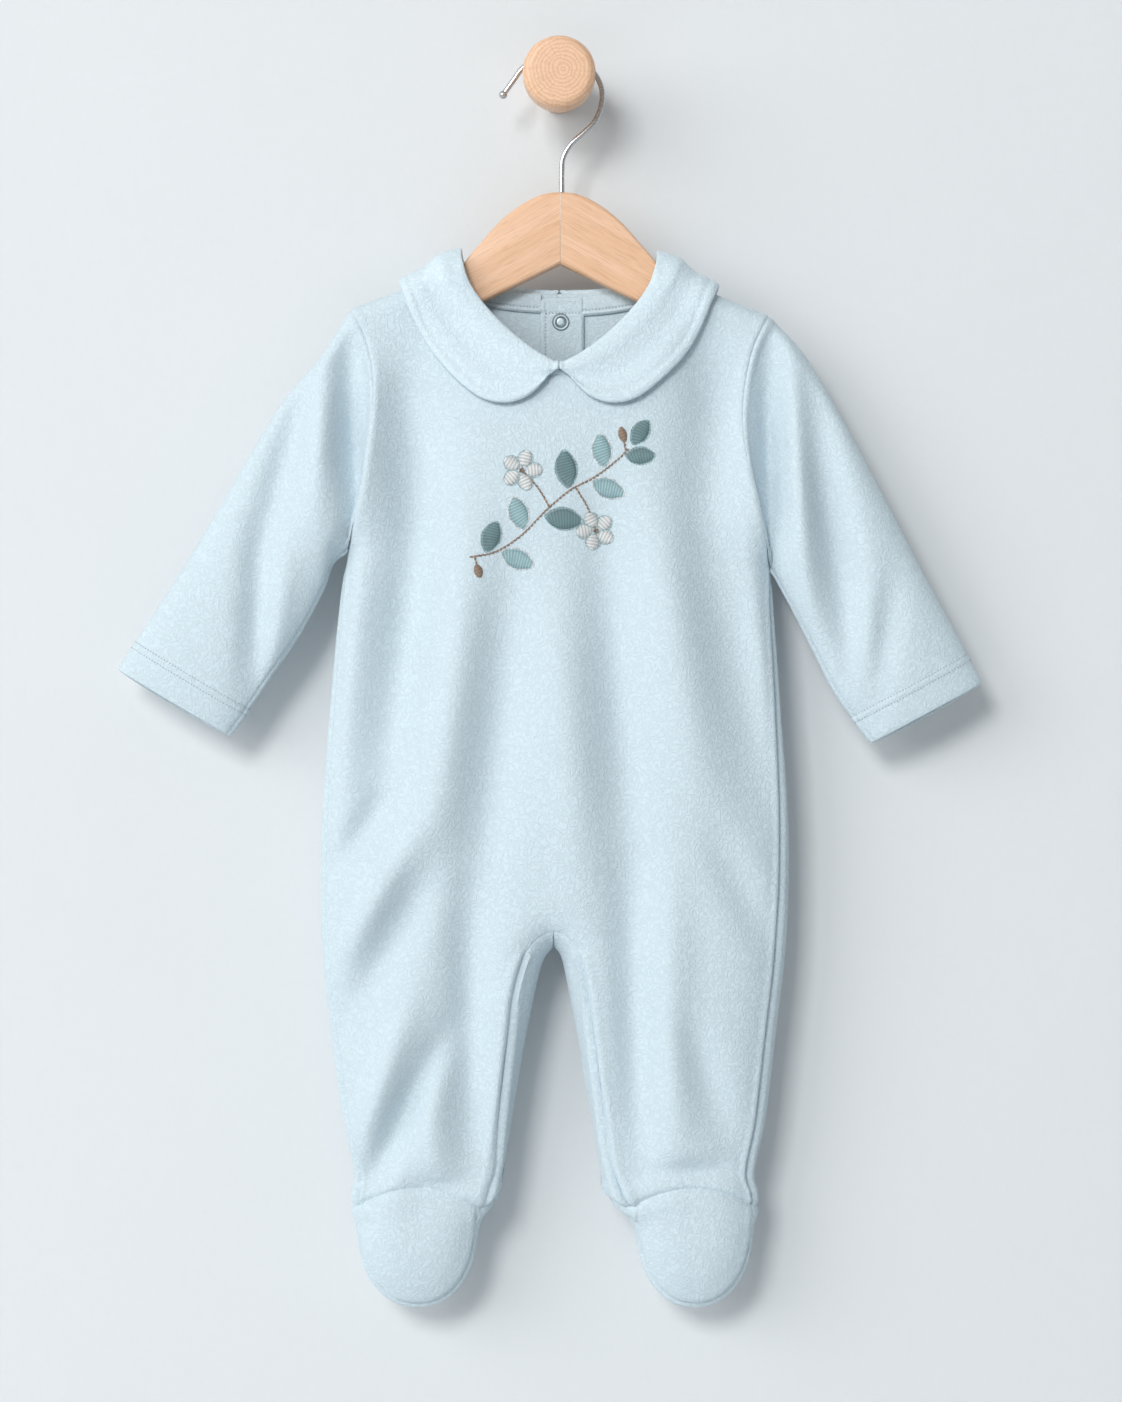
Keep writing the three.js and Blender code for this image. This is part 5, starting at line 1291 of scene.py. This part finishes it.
def make_collar():
    """Each leaf: its cross-sections joined into a closed skin, with a rim along its edge."""
    for side in (-1, 1):
        t = np.linspace(0, 1, LEAF_ROUNDS + 1)
        round_ = lerp(t, (1 - np.cos(np.pi * t)) / 2, 0.75)
        upper, under = collar_controls(side, round_)
        places = np.linspace(0, len(upper) - 1, LEAF_ACROSS + 1)
        places = places[-1] * (1 - (1 - places / places[-1]) ** 1.25)
        upper, under = through(upper, places), through(under, places)
        edge = arc_length(upper, 0, True)
        ends = np.minimum(arc_length(upper, 1), arc_length(upper, 1, True))
        near = np.minimum(edge, ends + 1.2)
        normal = unit(np.cross(np.gradient(upper, axis=0), np.gradient(upper, axis=1))) * side
        rim = 0.5 * bell(near - 1.8, 1.8) - 0.2 * bell(near - 4.8, 1.2)
        upper = upper + normal * rim[..., None]
        middle, half = (upper[-1] + under[-1]) / 2, (upper[-1] - under[-1]) / 2
        outward = unit(upper[-1] - upper[-4])
        thick = np.linalg.norm(half, axis=-1, keepdims=True)
        lips = []
        for k in range(1, LEAF_LIP + 1):
            angle = math.pi * k / (LEAF_LIP + 1)
            lips.append(middle + half * math.cos(angle) + outward * thick * math.sin(angle))
        ring = np.concatenate([upper, np.array(lips), under[::-1]])      # closed cross-section
        count, rounds = ring.shape[:2]
        faces = grid_faces(count, rounds, flip=side > 0, close_rows=True).tolist()
        for end, turned in ((0, side < 0), (rounds - 1, side > 0)):
            loop = [k * rounds + end for k in range(count)]
            for k in range(count // 2 - 1):
                cap = [loop[k], loop[k + 1], loop[-2 - k], loop[-1 - k]]
                faces.append(cap if turned else cap[::-1])
        name = "collar_" + SIDES[side]
        piece = new_object(name + "_leaf", ring.reshape(-1, 3), faces, finish("lit_collar_cloth"), 70)
        declare(piece, name)


def back_strip(x, z, offset):
    """Points at an offset into the garment from the back's surface."""
    normal = drape_normal(x, length_of(x, z, -1))
    return body_point(x, z, -1) - normal * offset[..., None]


def pillow(near, far, flip):
    """A solid between two grids, closed by half-round edges."""
    rows, columns = near.shape[:2]
    i, j = np.arange(rows), np.arange(columns)
    loop = np.concatenate([j[:-1], columns * i[:-1] + columns - 1,
                           (rows - 1) * columns + j[:0:-1], columns * i[:0:-1]])
    top, low = near.reshape(-1, 3)[loop], far.reshape(-1, 3)[loop]
    middle, half = (top + low) / 2, (top - low) / 2
    outward = unit(top - near[1:-1, 1:-1].reshape(-1, 3).mean(0))
    ahead = np.roll(top, -1, 0) - np.roll(top, 1, 0)
    flat = unit(np.cross(ahead, half))
    flat *= np.sign(np.sum(flat * outward, -1, keepdims=True))
    thick = np.linalg.norm(half, axis=-1, keepdims=True)
    layers = []
    for k in range(1, LIP + 1):
        angle = math.pi * k / (LIP + 1)
        layers.append(middle + half * math.cos(angle) + flat * thick * math.sin(angle))
    count, size = rows * columns, len(loop)
    rings = [loop] + [2 * count + k * size + np.arange(size) for k in range(LIP)] + [loop + count]
    faces = [grid_faces(rows, columns, 0, flip), grid_faces(rows, columns, count, not flip)]
    for a, b in zip(rings[:-1], rings[1:]):
        quad = np.stack([a, np.roll(a, -1), np.roll(b, -1), b], -1)
        faces.append(quad if not flip else quad[:, ::-1])
    points = np.concatenate([near.reshape(-1, 3), far.reshape(-1, 3)] + layers)
    return points, np.concatenate(faces).tolist()


def binding_z(x, side):
    """Height of the back neck edge over a point across."""
    reach = np.clip(np.abs(x) / NECK_HALF, 0, 1) ** NECK_SHAPE[-1]
    return ridge_z(side * NECK_HALF) - NECK_FALL[-1] * (1 - reach) ** (1 / NECK_SHAPE[-1])


def make_bindings():
    """A narrow strip inside the back neck on both sides of the placket, with its stitches."""
    for side in (-1, 1):
        inside = PLACKET_LEFT - LAY_GAP if side < 0 else PLACKET_RIGHT + LAY_GAP
        x = np.linspace(side * BINDING_OUTER, inside, 41)[None, :]
        share = np.linspace(0, 1, 33)[:, None]
        z = binding_z(x, side) - BINDING_DROP - BINDING_WIDE * share
        x = x + 0 * z
        groove = bell((share - BINDING_STITCH) * BINDING_WIDE, 0.6)
        swell = (0.3 * np.sin(np.pi * share) ** 0.5 - 0.45 * groove
                 + 0.7 * bell((share - 0.92) * BINDING_WIDE, 0.8))
        base = CLOTH + LAY_GAP
        near, far = (back_strip(x, z, base + over + 0 * z) for over in (0, BINDING_THICK + swell))
        points, faces = pillow(far, near, side > 0)
        name = "neck_binding_" + SIDES[side]
        row_z = binding_z(x[0], side) - BINDING_DROP - BINDING_WIDE * BINDING_STITCH
        path = back_strip(x[0], row_z, np.full(len(row_z), base + BINDING_THICK - 0.08))
        normals = -drape_normal(x[0], length_of(x[0], row_z, -1))
        order = slice(None) if side < 0 else slice(None, None, -1)
        stitches = new_object(name + "_stitches",
                              *stitch_row(path[order], normals[order], *SEWN, 0.28),
                              finish("seam_thread_painted_shade"))
        declare(stitches, None)
        piece = new_object(name + "_strip", points, faces, finish("rib_cloth"), 70)
        declare(piece, name)


def make_placket():
    """The strips on both sides of the back opening, with rounded upper corners; the inner one
    has a row of stitches across its top and one down its side."""
    for name, offset, top, facing in (("placket_inner", CLOTH + LAY_GAP, PLACKET_TOP, 1),
                                      ("placket_outer", -LAY_GAP - STRIP, PLACKET_TOP - 2, -1)):
        u = np.linspace(0, 1, 45)[None, :]
        v = (np.linspace(0, 1, 201) ** 1.5)[:, None]
        x = lerp(PLACKET_LEFT, PLACKET_RIGHT, u) + 0 * v
        inwards = np.minimum(u, 1 - u) * (PLACKET_RIGHT - PLACKET_LEFT) / PLACKET_ROUND
        corner = PLACKET_ROUND * (1 - np.sqrt(1 - np.clip(1 - inwards, 0, 1) ** 2))
        z = lerp(top - corner, PLACKET_END, v)
        edge = np.minimum(np.minimum(x - PLACKET_LEFT, PLACKET_RIGHT - x), (top - z))
        swell = 0.45 * smooth(edge / 1.2) - 0.3 * bell(x - PLACKET_LEFT - PLACKET_SIDE, 0.55)
        swell = swell - 0.4 * bell(z - (top - PLACKET_ROW), 0.6) + 0.2 * bell(edge - 0.9, 0.6)
        if facing > 0:
            near, far = back_strip(x, z, offset + 0 * z), back_strip(x, z, offset + STRIP + swell)
        else:
            near, far = back_strip(x, z, offset + STRIP + 0 * z), back_strip(x, z, offset - swell)
        points, faces = pillow(far, near, facing > 0)
        x_row = np.linspace(PLACKET_LEFT + 1.2, PLACKET_RIGHT - 1.2, 16)
        z_row = np.full(16, top - PLACKET_ROW)
        z_side = np.linspace(top - 5, PLACKET_END + 4, 80)
        x_side = np.full(80, PLACKET_LEFT + PLACKET_SIDE)
        rows = []
        reach = offset + STRIP if facing > 0 else offset
        for px, pz in ((x_row, z_row), (x_side, z_side)):
            path = back_strip(px, pz, np.full(len(px), reach - 0.02 * facing))
            normals = -facing * drape_normal(px, length_of(px, pz, -1))
            rows.append(stitch_row(path + normals * 0.2, normals, *SEWN, 0.28))
        stitches = new_object(name + "_stitches", *join(rows), finish("seam_thread_painted_shade"))
        declare(stitches, None)
        piece = new_object(name + "_strip", points, faces, finish("brushed_cloth"), 70)
        declare(piece, name)


def turned(profile, sides, centre, axis):
    """A profile of (radius, height) turned about an axis through a centre; a point on the axis
    closes it, and a profile that ends where it starts makes a ring."""
    profile = np.array(profile, float)
    axis = unit(np.array(axis, float))
    first = unit(np.cross(axis, (0.3, 0.1, 1.0)))       # any direction off the axis will do
    second = np.cross(axis, first)
    turn = np.linspace(0, 2 * np.pi, sides, endpoint=False)[None, :, None]
    closed = np.allclose(profile[0], profile[-1])
    if closed:
        profile = profile[:-1]
    r, h = profile[:, 0][:, None, None], profile[:, 1][:, None, None]
    points = centre + r * (np.cos(turn) * first + np.sin(turn) * second) + h * axis
    faces = grid_faces(len(profile), sides, close_rows=closed, close_columns=True)
    points = points.reshape(-1, 3)
    keys = np.round(points * 1000).astype(np.int64)
    _, kept, place = np.unique(keys, axis=0, return_index=True, return_inverse=True)
    return points[kept], tidy_faces(place.ravel()[faces])


def round_off(profile, radius, steps=4):
    """Rounds each corner of a profile: a quadratic curve from a little before the corner to a
    little after it."""
    profile = np.array(profile, float)
    out = [profile[0]]
    for before, at, after in zip(profile[:-2], profile[1:-1], profile[2:]):
        back = min(radius, 0.45 * np.linalg.norm(before - at))
        on = min(radius, 0.45 * np.linalg.norm(after - at))
        a = at + (before - at) / max(np.linalg.norm(before - at), 1e-9) * back
        b = at + (after - at) / max(np.linalg.norm(after - at), 1e-9) * on
        t = np.linspace(0, 1, steps + 1)[:, None]
        out += list((1 - t) ** 2 * a + 2 * t * (1 - t) * at + t * t * b)
    return np.array(out + [profile[-1]])


def give_painted_shade(piece, shade_at, centre):
    """A tone for each vertex, by its distance in millimetres from a centre; a low tone paints
    shade.
    """
    places = np.zeros(len(piece.data.vertices) * 3, np.float32)
    piece.data.vertices.foreach_get("co", places)
    from_centre = places.reshape(-1, 3)[:, [0, 2]] * 1000 - np.ravel(centre)[[0, 2]]
    away = np.linalg.norm(from_centre, axis=1)
    tone = piece.data.attributes.new("tone", "FLOAT", "POINT")
    tone.data.foreach_set("value", np.clip(shade_at(away), 0, 1).astype(np.float32))


def make_snaps():
    """Press snaps: a ring with a domed eye on the inner strip and a smooth cap on the outer."""
    ring, cap = round_off(SNAP_RING, 0.16), round_off(SNAP_CAP, 0.35)
    for i in range(SNAP_COUNT):
        z = SNAP_TOP - SNAP_PITCH * i
        x = np.array(SNAP_X)
        normal = drape_normal(x, length_of(x, np.array(z), -1))
        on = body_point(x, z, -1)
        inner = on - normal * (CLOTH + LAY_GAP + STRIP + SNAP_GAP)
        outer = on + normal * (LAY_GAP + STRIP + SNAP_GAP)
        parts = [turned(ring, 40, inner, -normal), turned(SNAP_EYE[::-1], 32, inner, -normal)]
        piece = new_object(f"snap_eye_{i + 1}", *join(parts), finish("snap_steel"), 40)
        # The tone dips in rings at the eye's rims and the cap's edge: a painted shade for the
        # grooves there.
        give_painted_shade(piece, lambda at: 1 - bell(at - 4.6, 0.5) - bell(at - 2.7, 0.45), inner)
        declare(piece, f"snap_ring_{i + 1}")
        piece = new_object(f"snap_dome_{i + 1}", *turned(cap[::-1], 40, outer, normal),
                           finish("snap_steel"), 40)
        give_painted_shade(piece, lambda at: 1 - bell(at - 4.75, 0.5), outer)
        declare(piece, f"snap_cap_{i + 1}")


def make_hanger():
    """Two arms, each a rectangle with rounded corners carried along the arm; its upper and
    lower edges follow the table, and past the neck the upper one stays under the shoulder
    seam. The arm narrows to a rounded tip."""
    quarter = np.linspace(0, np.pi / 2, 8)
    angle = (quarter[None, :] + np.pi / 2 * np.arange(4)[:, None]).reshape(1, -1)
    corner_y = np.repeat([1, -1, -1, 1], len(quarter))[None, :]
    corner_z = np.repeat([1, 1, -1, -1], len(quarter))[None, :]
    tip_turn = np.linspace(0.1, 1, 9) * np.pi / 2
    out = np.concatenate([[ARM_MEET], np.linspace(1.5, ARM_TIP, 84),
                          ARM_TIP + TIP_LONG * np.sin(tip_turn)])
    for side in (-1, 1):
        x = ARM_X + side * out
        top, under = read(ARM, "out", "top", out), read(ARM, "out", "under", out)
        top = np.where(out > ARM_NECK, np.minimum(top, ridge_z(x) - ARM_UNDER), top)
        tip = np.sqrt(np.clip(1 - np.clip((out - ARM_TIP) / TIP_LONG, 0, 1) ** 2, 0.03, 1))
        middle, tall = (top + under) / 2, ((top - under) / 2 * tip)[:, None]
        thick = (ARM_HALF * (0.4 + 0.6 * tip))[:, None]
        corner = np.minimum(ARM_ROUND, 0.8 * np.minimum(tall, thick))
        y = corner_y * (thick - corner) + corner * np.cos(angle)
        z = corner_z * (tall - corner) + corner * np.sin(angle)
        points = np.stack([x[:, None] + 0 * y, MID_Y + y, middle[:, None] + z], -1)
        rings, sides = points.shape[:2]
        faces = grid_faces(rings, sides, close_columns=True).tolist()
        faces += [list(range(sides)), list(range(rings * sides - 1, (rings - 1) * sides - 1, -1))]
        name = "hanger_arm_" + SIDES[side]
        piece = new_object(name + "_board", points.reshape(-1, 3), faces,
                           finish(SIDES[side] + "_arm_wood"), 40)
        declare(piece, name)


def make_hook():
    """The wire: a round tube along the hook's curve, and a ball on its end."""
    route = through(HOOK, np.linspace(0, len(HOOK) - 1, 180))
    route = np.stack([route[:, 0], np.full(len(route), MID_Y), route[:, 1]], -1)
    wire = new_object("hook_rod", *tube(route, WIRE, 20), finish("hook_steel"), 50)
    declare(wire, "hook_wire")
    run = unit(route[-1] - route[-2])
    angle = np.linspace(0, np.pi, 17)
    ball = np.stack([BALL * np.sin(angle), BALL * np.cos(angle)], -1)
    centre = route[-1] + run * (BALL - 0.5)
    piece = new_object("hook_knob", *turned(ball[::-1], 32, centre, run), finish("hook_steel"))
    declare(piece, "hook_ball")


def make_peg():
    """The peg, turned from its profile: a neck that flares to a disc with rounded edges."""
    points, faces = turned(round_off(PEG, 1.6, 6), 96, np.zeros(3), (0, -1, 0))
    piece = new_object("turned_peg", points, faces, finish("peg_wood"), 35)
    declare(piece, "wall_peg")


# ------------------------------------------------------------------------------ embroidery

# Middle of the design, and its stem as x and z from there.
SPRIG_X, SPRIG_Z = -3.0, -228.9
SPRIG_STEM = np.array([(-45, -29), (-31, -26), (-17, -17), (-4, -4), (9, 7), (22, 14),
                       (34, 23), (41, 30)], float)
# Leaves: share of the way along the stem, angle from its direction, length, half width, shade.
SPRIG_LEAVES = table("at angle length half dark", [
    (0.08, 58, 18.0, 5.0, 1), (0.16, -50, 19.0, 5.2, 0), (0.30, 64, 18.5, 5.1, 0),
    (0.40, -54, 21.0, 5.8, 1), (0.56, 60, 21.0, 5.7, 1), (0.68, -50, 19.0, 5.2, 0),
    (0.77, 60, 18.5, 5.0, 0), (0.90, -44, 16.5, 4.6, 1), (1.00, 10, 16.0, 4.5, 1),
])
SPRIG_FLOWERS = ((0.45, -17.0, 17.5, 11.2), (0.60, 22.5, -14.5, 10.6))   # at, x, z, radius
SPRIG_BUDS = ((0.03, -39.0, -40.0), (0.95, 36.0, 41.0))                  # at, x, z
PETAL_HALF, PETAL_FAT = 3.9, 0.55
SATIN_PITCH = 1.55     # space between satin threads, in radii of the thread


def on_chest(x, z):
    """The front's surface and its normal at a place of the design."""
    x, z = SPRIG_X + np.asarray(x, float), SPRIG_Z + np.asarray(z, float)
    return body_point(x, z, 1), drape_normal(x, length_of(x, z, 1))


def satin(base, tip, half, radius, rise, slant, fat=0.75):
    """A leaf filled with threads laid from edge to edge at a slant: its half width at a share
    p of its length is half sin(pi p)^fat."""
    base, tip = np.array(base, float), np.array(tip, float)
    length = np.linalg.norm(tip - base)
    ahead = (tip - base) / length
    side = np.array([-ahead[1], ahead[0]])
    p = np.linspace(0.0, 1 - slant * 0.4, int(length / (SATIN_PITCH * radius)))
    other = np.clip(p + slant * (1 - p), 0, 1)
    edge = lambda q, sign: (base + ahead * (length * q)[:, None]
                            + side * (sign * half * np.sin(np.pi * q) ** fat)[:, None])
    a, b = edge(p, 1), edge(other, -1)
    start, out = on_chest(*a.T)
    end, _ = on_chest(*b.T)
    across = np.linalg.norm(a - b, axis=1)
    return strands(start, end, out, radius, rise * np.clip(across / (2 * half), 0.2, 1))


def outline(base, tip, half, radius, fat=0.75):
    """A line of stitches round a leaf."""
    base, tip = np.array(base, float), np.array(tip, float)
    ahead, t = tip - base, np.linspace(0, np.pi, 40)
    side = np.array([-ahead[1], ahead[0]]) / np.linalg.norm(ahead)
    q = (1 - np.cos(t)) / 2
    swell = (half + radius) * np.sin(np.pi * q) ** fat
    there = base + ahead * q[:, None] + side * swell[:, None]
    back = (base + ahead * q[:, None] - side * swell[:, None])[::-1]
    path, normals = on_chest(*np.concatenate([there, back[1:]]).T)
    return stitch_row(path, normals, 1.7, 0.05, radius)


def corded(points, radius):
    """A stem: two lines of stitches side by side, which take turns."""
    points = np.asarray(points, float)
    line = through(points, np.linspace(0, len(points) - 1, 24 * (len(points) - 1)))
    ahead = unit(np.gradient(line, axis=0))
    side = np.stack([-ahead[:, 1], ahead[:, 0]], -1) * 0.75 * radius
    rows = [stitch_row(*on_chest(*(line + side * way).T), 2.0, gap, radius)
            for way, gap in ((1, 0.1), (-1, 0.35))]
    return join(rows)


def make_sprig():
    """A spray of leaves with two small flowers, in raised satin and stem stitch."""
    radius = bpy.context.scene.jumpsuit.thread * 500
    stem = lambda at: through(SPRIG_STEM, np.array([at * (len(SPRIG_STEM) - 1)]))[0]
    layers = {k: [] for k in ("stem", "leaf_dark", "leaf_pale", "petal")}
    layers["stem"].append(corded(SPRIG_STEM, radius))
    for at, angle, length, half, dark in zip(*SPRIG_LEAVES.values()):
        root, ahead = stem(at), unit(stem(min(at + 0.02, 1)) - stem(min(at + 0.02, 1) - 0.04))
        turn = math.radians(angle)
        way = np.array([ahead[0] * math.cos(turn) - ahead[1] * math.sin(turn),
                        ahead[0] * math.sin(turn) + ahead[1] * math.cos(turn)])
        base = root + way * 1.6
        tip = base + way * length
        layers["leaf_dark" if dark else "leaf_pale"].append(
            satin(base, tip, half, radius, 0.75, 0.2))
        layers["leaf_pale" if dark else "petal"].append(outline(base, tip, half, radius))
        layers["petal" if dark else "leaf_dark"].append(
            corded([base + way * 1.5, base + way * (0.8 * length)], 0.8 * radius))
    for at, x, z, size in SPRIG_FLOWERS:
        root, centre = stem(at), np.array([x, z])
        layers["stem"].append(corded([root, lerp(root, centre, 0.5) + (1.2, 0.6), centre], radius))
        for k in range(5):
            turn = math.radians(90 + 72 * k + x)
            way = np.array([math.cos(turn), math.sin(turn)])
            ends = centre + way * 2.0, centre + way * size
            layers["petal"].append(satin(*ends, PETAL_HALF, radius, 0.9, 0.12, PETAL_FAT))
            layers["leaf_pale"].append(outline(*ends, PETAL_HALF, 0.8 * radius, PETAL_FAT))
            knot = centre + way * 1.0
            side = np.array([-way[1], way[0]]) * 0.5
            a, normal = on_chest(*(knot - side)[:, None])
            b, _ = on_chest(*(knot + side)[:, None])
            layers["stem"].append(strands(a + normal * 0.5, b + normal * 0.5, normal,
                                          2.0 * radius, 0.5))
    for at, x, z in SPRIG_BUDS:
        root, tip = stem(at), np.array([x, z], float)
        base = lerp(root, tip, 0.35)
        layers["stem"].append(corded([root, base, lerp(root, tip, 0.55)], radius))
        layers["stem"].append(satin(base, tip, 2.5, radius, 0.8, 0.15, 0.6))
    for layer, parts in layers.items():
        piece = new_object("sprig_" + layer, *join(parts), finish(layer + "_thread"))
        # A tone for each thread, low on some: a painted shade for the dark gaps between stitches.
        tone = piece.data.attributes.new("tone", "FLOAT", "POINT")
        each = np.arange(len(piece.data.vertices)) // STRAND
        tone.data.foreach_set("value", 0.5 + 0.5 * np.sin(each * 1.9))
        declare(piece, None)


# ------------------------------------------------------------------------------ stage

# Places and sizes of the camera and lights are in metres.
CAMERA_AT = (0.001, -1.83, -0.3344)
CAMERA_LENS = 85.6
WALL_Y, FLOOR_Z, STAGE_REACH = 0.4, -950.0, 1600.0      # millimetres
MIDDLE = (0, -0.03, -0.33)
# Lights: name, place, size, power and colour.
LIGHTS = (
    ("key", (-1.65, -4.85, 1.75), 1.5, 150.0, (1.0, 0.99, 0.975)),
    ("side", (-4.2, -3.34, 1.48), 3.7, 136.0, (1.0, 0.99, 0.98)),
    ("back", (-0.9, 2.2, 0.7), 1.4, 9.0, (1.0, 1.0, 1.0)),
)


def area_light(name, place, size, power, colour):
    """A square light turned towards the middle of the garment."""
    data = bpy.data.lights.new(name, "AREA")
    data.shape, data.size, data.size_y = "RECTANGLE", size, size
    data.energy, data.color = power, colour
    light = bpy.data.objects.new(name, data)
    light.location = place
    light.rotation_euler = (Vector(MIDDLE) - Vector(place)).to_track_quat("-Z", "Y").to_euler()
    bpy.context.scene.collection.objects.link(light)


def make_stage():
    """Camera, wall, floor and soft light."""
    scene, s = bpy.context.scene, bpy.context.scene.jumpsuit
    camera = bpy.data.objects.new("camera", bpy.data.cameras.new("camera"))
    camera.location, camera.rotation_euler = CAMERA_AT, (math.pi / 2, 0, 0)
    camera.data.sensor_fit, camera.data.sensor_height = "VERTICAL", 36
    camera.data.lens = CAMERA_LENS
    scene.collection.objects.link(camera)
    scene.camera = camera
    far, low, wall = STAGE_REACH, FLOOR_Z, WALL_Y
    plain = {
        "wall": [(-far, wall, low), (far, wall, low), (far, wall, far), (-far, wall, far)],
        "floor": [(-far, -2 * far, low), (far, -2 * far, low), (far, 2 * far, low),
                  (-far, 2 * far, low)],
    }
    for name, corners in plain.items():
        plane = new_object(name, corners, [(0, 1, 2, 3)], finish("wall_paint"), closed=False)
        plane.visible_shadow = name != "wall"      # the light behind the wall reaches the back
    for light in LIGHTS:
        area_light(*light)
    scene.view_settings.view_transform = "Standard"
    scene.world = bpy.data.worlds.new("sky")
    scene.world.use_nodes = True
    sky = scene.world.node_tree.nodes["Background"]
    sky.inputs["Color"].default_value = tuple(s.sky_colour) + (1.0,)
    sky.inputs["Strength"].default_value = s.sky_strength


# ------------------------------------------------------------------------------ add-on


def length_property(name, description, default, top):
    """A length in metres."""
    return FloatProperty(name=name, description=description, default=default, min=0.0, max=top,
                         unit="LENGTH", subtype="DISTANCE", precision=5)


def colour_property(name, description, default):
    """A colour, in linear light."""
    return FloatVectorProperty(name=name, description=description, default=default, size=3,
                               min=0.0, max=1.0, subtype="COLOR")


class JumpsuitSettings(bpy.types.PropertyGroup):
    """Sizes and colours of the jumpsuit and what it hangs on"""
    cloth_wall: length_property("Cloth", "Thickness of the brushed knit", 0.0016, 0.003)
    seam_depth: length_property("Seams", "Depth of the dips at the seams", 0.00075, 0.0015)
    thread: length_property("Thread", "Thickness of the embroidery thread", 0.00068, 0.001)
    nap: FloatProperty(name="Nap", description="How raised the brushed pile is", default=1.0,
                       min=0.0, max=2.0, subtype="FACTOR")
    cloth_colour: colour_property("Cloth", "Colour of the knit", (0.588, 0.696, 0.756))
    leaf_dark: colour_property("Dark leaves", "Dark embroidery thread", (0.19, 0.31, 0.33))
    leaf_pale: colour_property("Pale leaves", "Pale embroidery thread", (0.38, 0.58, 0.62))
    petal_white: colour_property("Petals", "White embroidery thread", (0.82, 0.84, 0.84))
    stem_tan: colour_property("Stems", "Tan embroidery thread", (0.37, 0.26, 0.19))
    wood_pale: colour_property("Pale wood", "Colour between the grain lines", (0.82, 0.535, 0.36))
    wood_dark: colour_property("Dark wood", "Colour of the grain lines", (0.62, 0.36, 0.20))
    wall_colour: colour_property("Wall", "Colour of the wall and floor", (0.715, 0.745, 0.765))
    sky_colour: colour_property("Sky", "Colour of the light from all round", (0.95, 0.98, 1.0))
    sky_strength: FloatProperty(name="Sky strength", description="Light from all round",
                                default=0.33, min=0.0, max=5.0)


class JUMPSUIT_OT_stage(bpy.types.Operator):
    """Camera, wall, floor and soft light"""
    bl_idname = "jumpsuit.stage"
    bl_label = "Stage"

    def execute(self, context):
        make_stage()
        return {"FINISHED"}


class JUMPSUIT_OT_body(bpy.types.Operator):
    """Front panel and the two back panels"""
    bl_idname = "jumpsuit.body"
    bl_label = "Body"

    def execute(self, context):
        make_front()
        make_backs()
        return {"FINISHED"}


class JUMPSUIT_OT_sleeves(bpy.types.Operator):
    """Both sleeves with their twin-stitched hems"""
    bl_idname = "jumpsuit.sleeves"
    bl_label = "Sleeves"

    def execute(self, context):
        make_sleeves()
        return {"FINISHED"}


class JUMPSUIT_OT_feet(bpy.types.Operator):
    """Uppers and soles of both feet"""
    bl_idname = "jumpsuit.feet"
    bl_label = "Feet"

    def execute(self, context):
        make_feet()
        return {"FINISHED"}


class JUMPSUIT_OT_collar(bpy.types.Operator):
    """Both leaves of the round collar"""
    bl_idname = "jumpsuit.collar"
    bl_label = "Collar"

    def execute(self, context):
        make_collar()
        return {"FINISHED"}


class JUMPSUIT_OT_opening(bpy.types.Operator):
    """Back neck bindings, the placket's two strips and their snaps"""
    bl_idname = "jumpsuit.opening"
    bl_label = "Back opening"

    def execute(self, context):
        make_bindings()
        make_placket()
        make_snaps()
        return {"FINISHED"}


class JUMPSUIT_OT_sprig(bpy.types.Operator):
    """Embroidered spray on the chest"""
    bl_idname = "jumpsuit.sprig"
    bl_label = "Chest embroidery"

    def execute(self, context):
        make_sprig()
        return {"FINISHED"}


class JUMPSUIT_OT_hanger(bpy.types.Operator):
    """Hanger with its wire hook, and the peg that it hangs on"""
    bl_idname = "jumpsuit.hanger"
    bl_label = "Hanger and peg"

    def execute(self, context):
        make_hanger()
        make_hook()
        make_peg()
        return {"FINISHED"}


OPERATORS = (JUMPSUIT_OT_stage, JUMPSUIT_OT_body, JUMPSUIT_OT_sleeves, JUMPSUIT_OT_feet,
             JUMPSUIT_OT_collar, JUMPSUIT_OT_opening, JUMPSUIT_OT_sprig, JUMPSUIT_OT_hanger)


class JUMPSUIT_PT_panel(bpy.types.Panel):
    """Sizes and colours, and the operators in their order"""
    bl_label = "Jumpsuit"
    bl_space_type = "VIEW_3D"
    bl_region_type = "UI"
    bl_category = "Jumpsuit"

    def draw(self, context):
        for key in JumpsuitSettings.__annotations__:
            self.layout.prop(context.scene.jumpsuit, key)
        for made in OPERATORS:
            self.layout.operator(made.bl_idname)


CLASSES = (JumpsuitSettings,) + OPERATORS + (JUMPSUIT_PT_panel,)


def register():
    for made in CLASSES:
        bpy.utils.register_class(made)
    bpy.types.Scene.jumpsuit = PointerProperty(type=JumpsuitSettings)


def unregister():
    del bpy.types.Scene.jumpsuit
    for made in reversed(CLASSES):
        bpy.utils.unregister_class(made)


def main():
    register()
    for name in ("stage", "body", "sleeves", "feet", "collar", "opening", "sprig", "hanger"):
        getattr(bpy.ops.jumpsuit, name)()


if __name__ == "__main__":
    main()
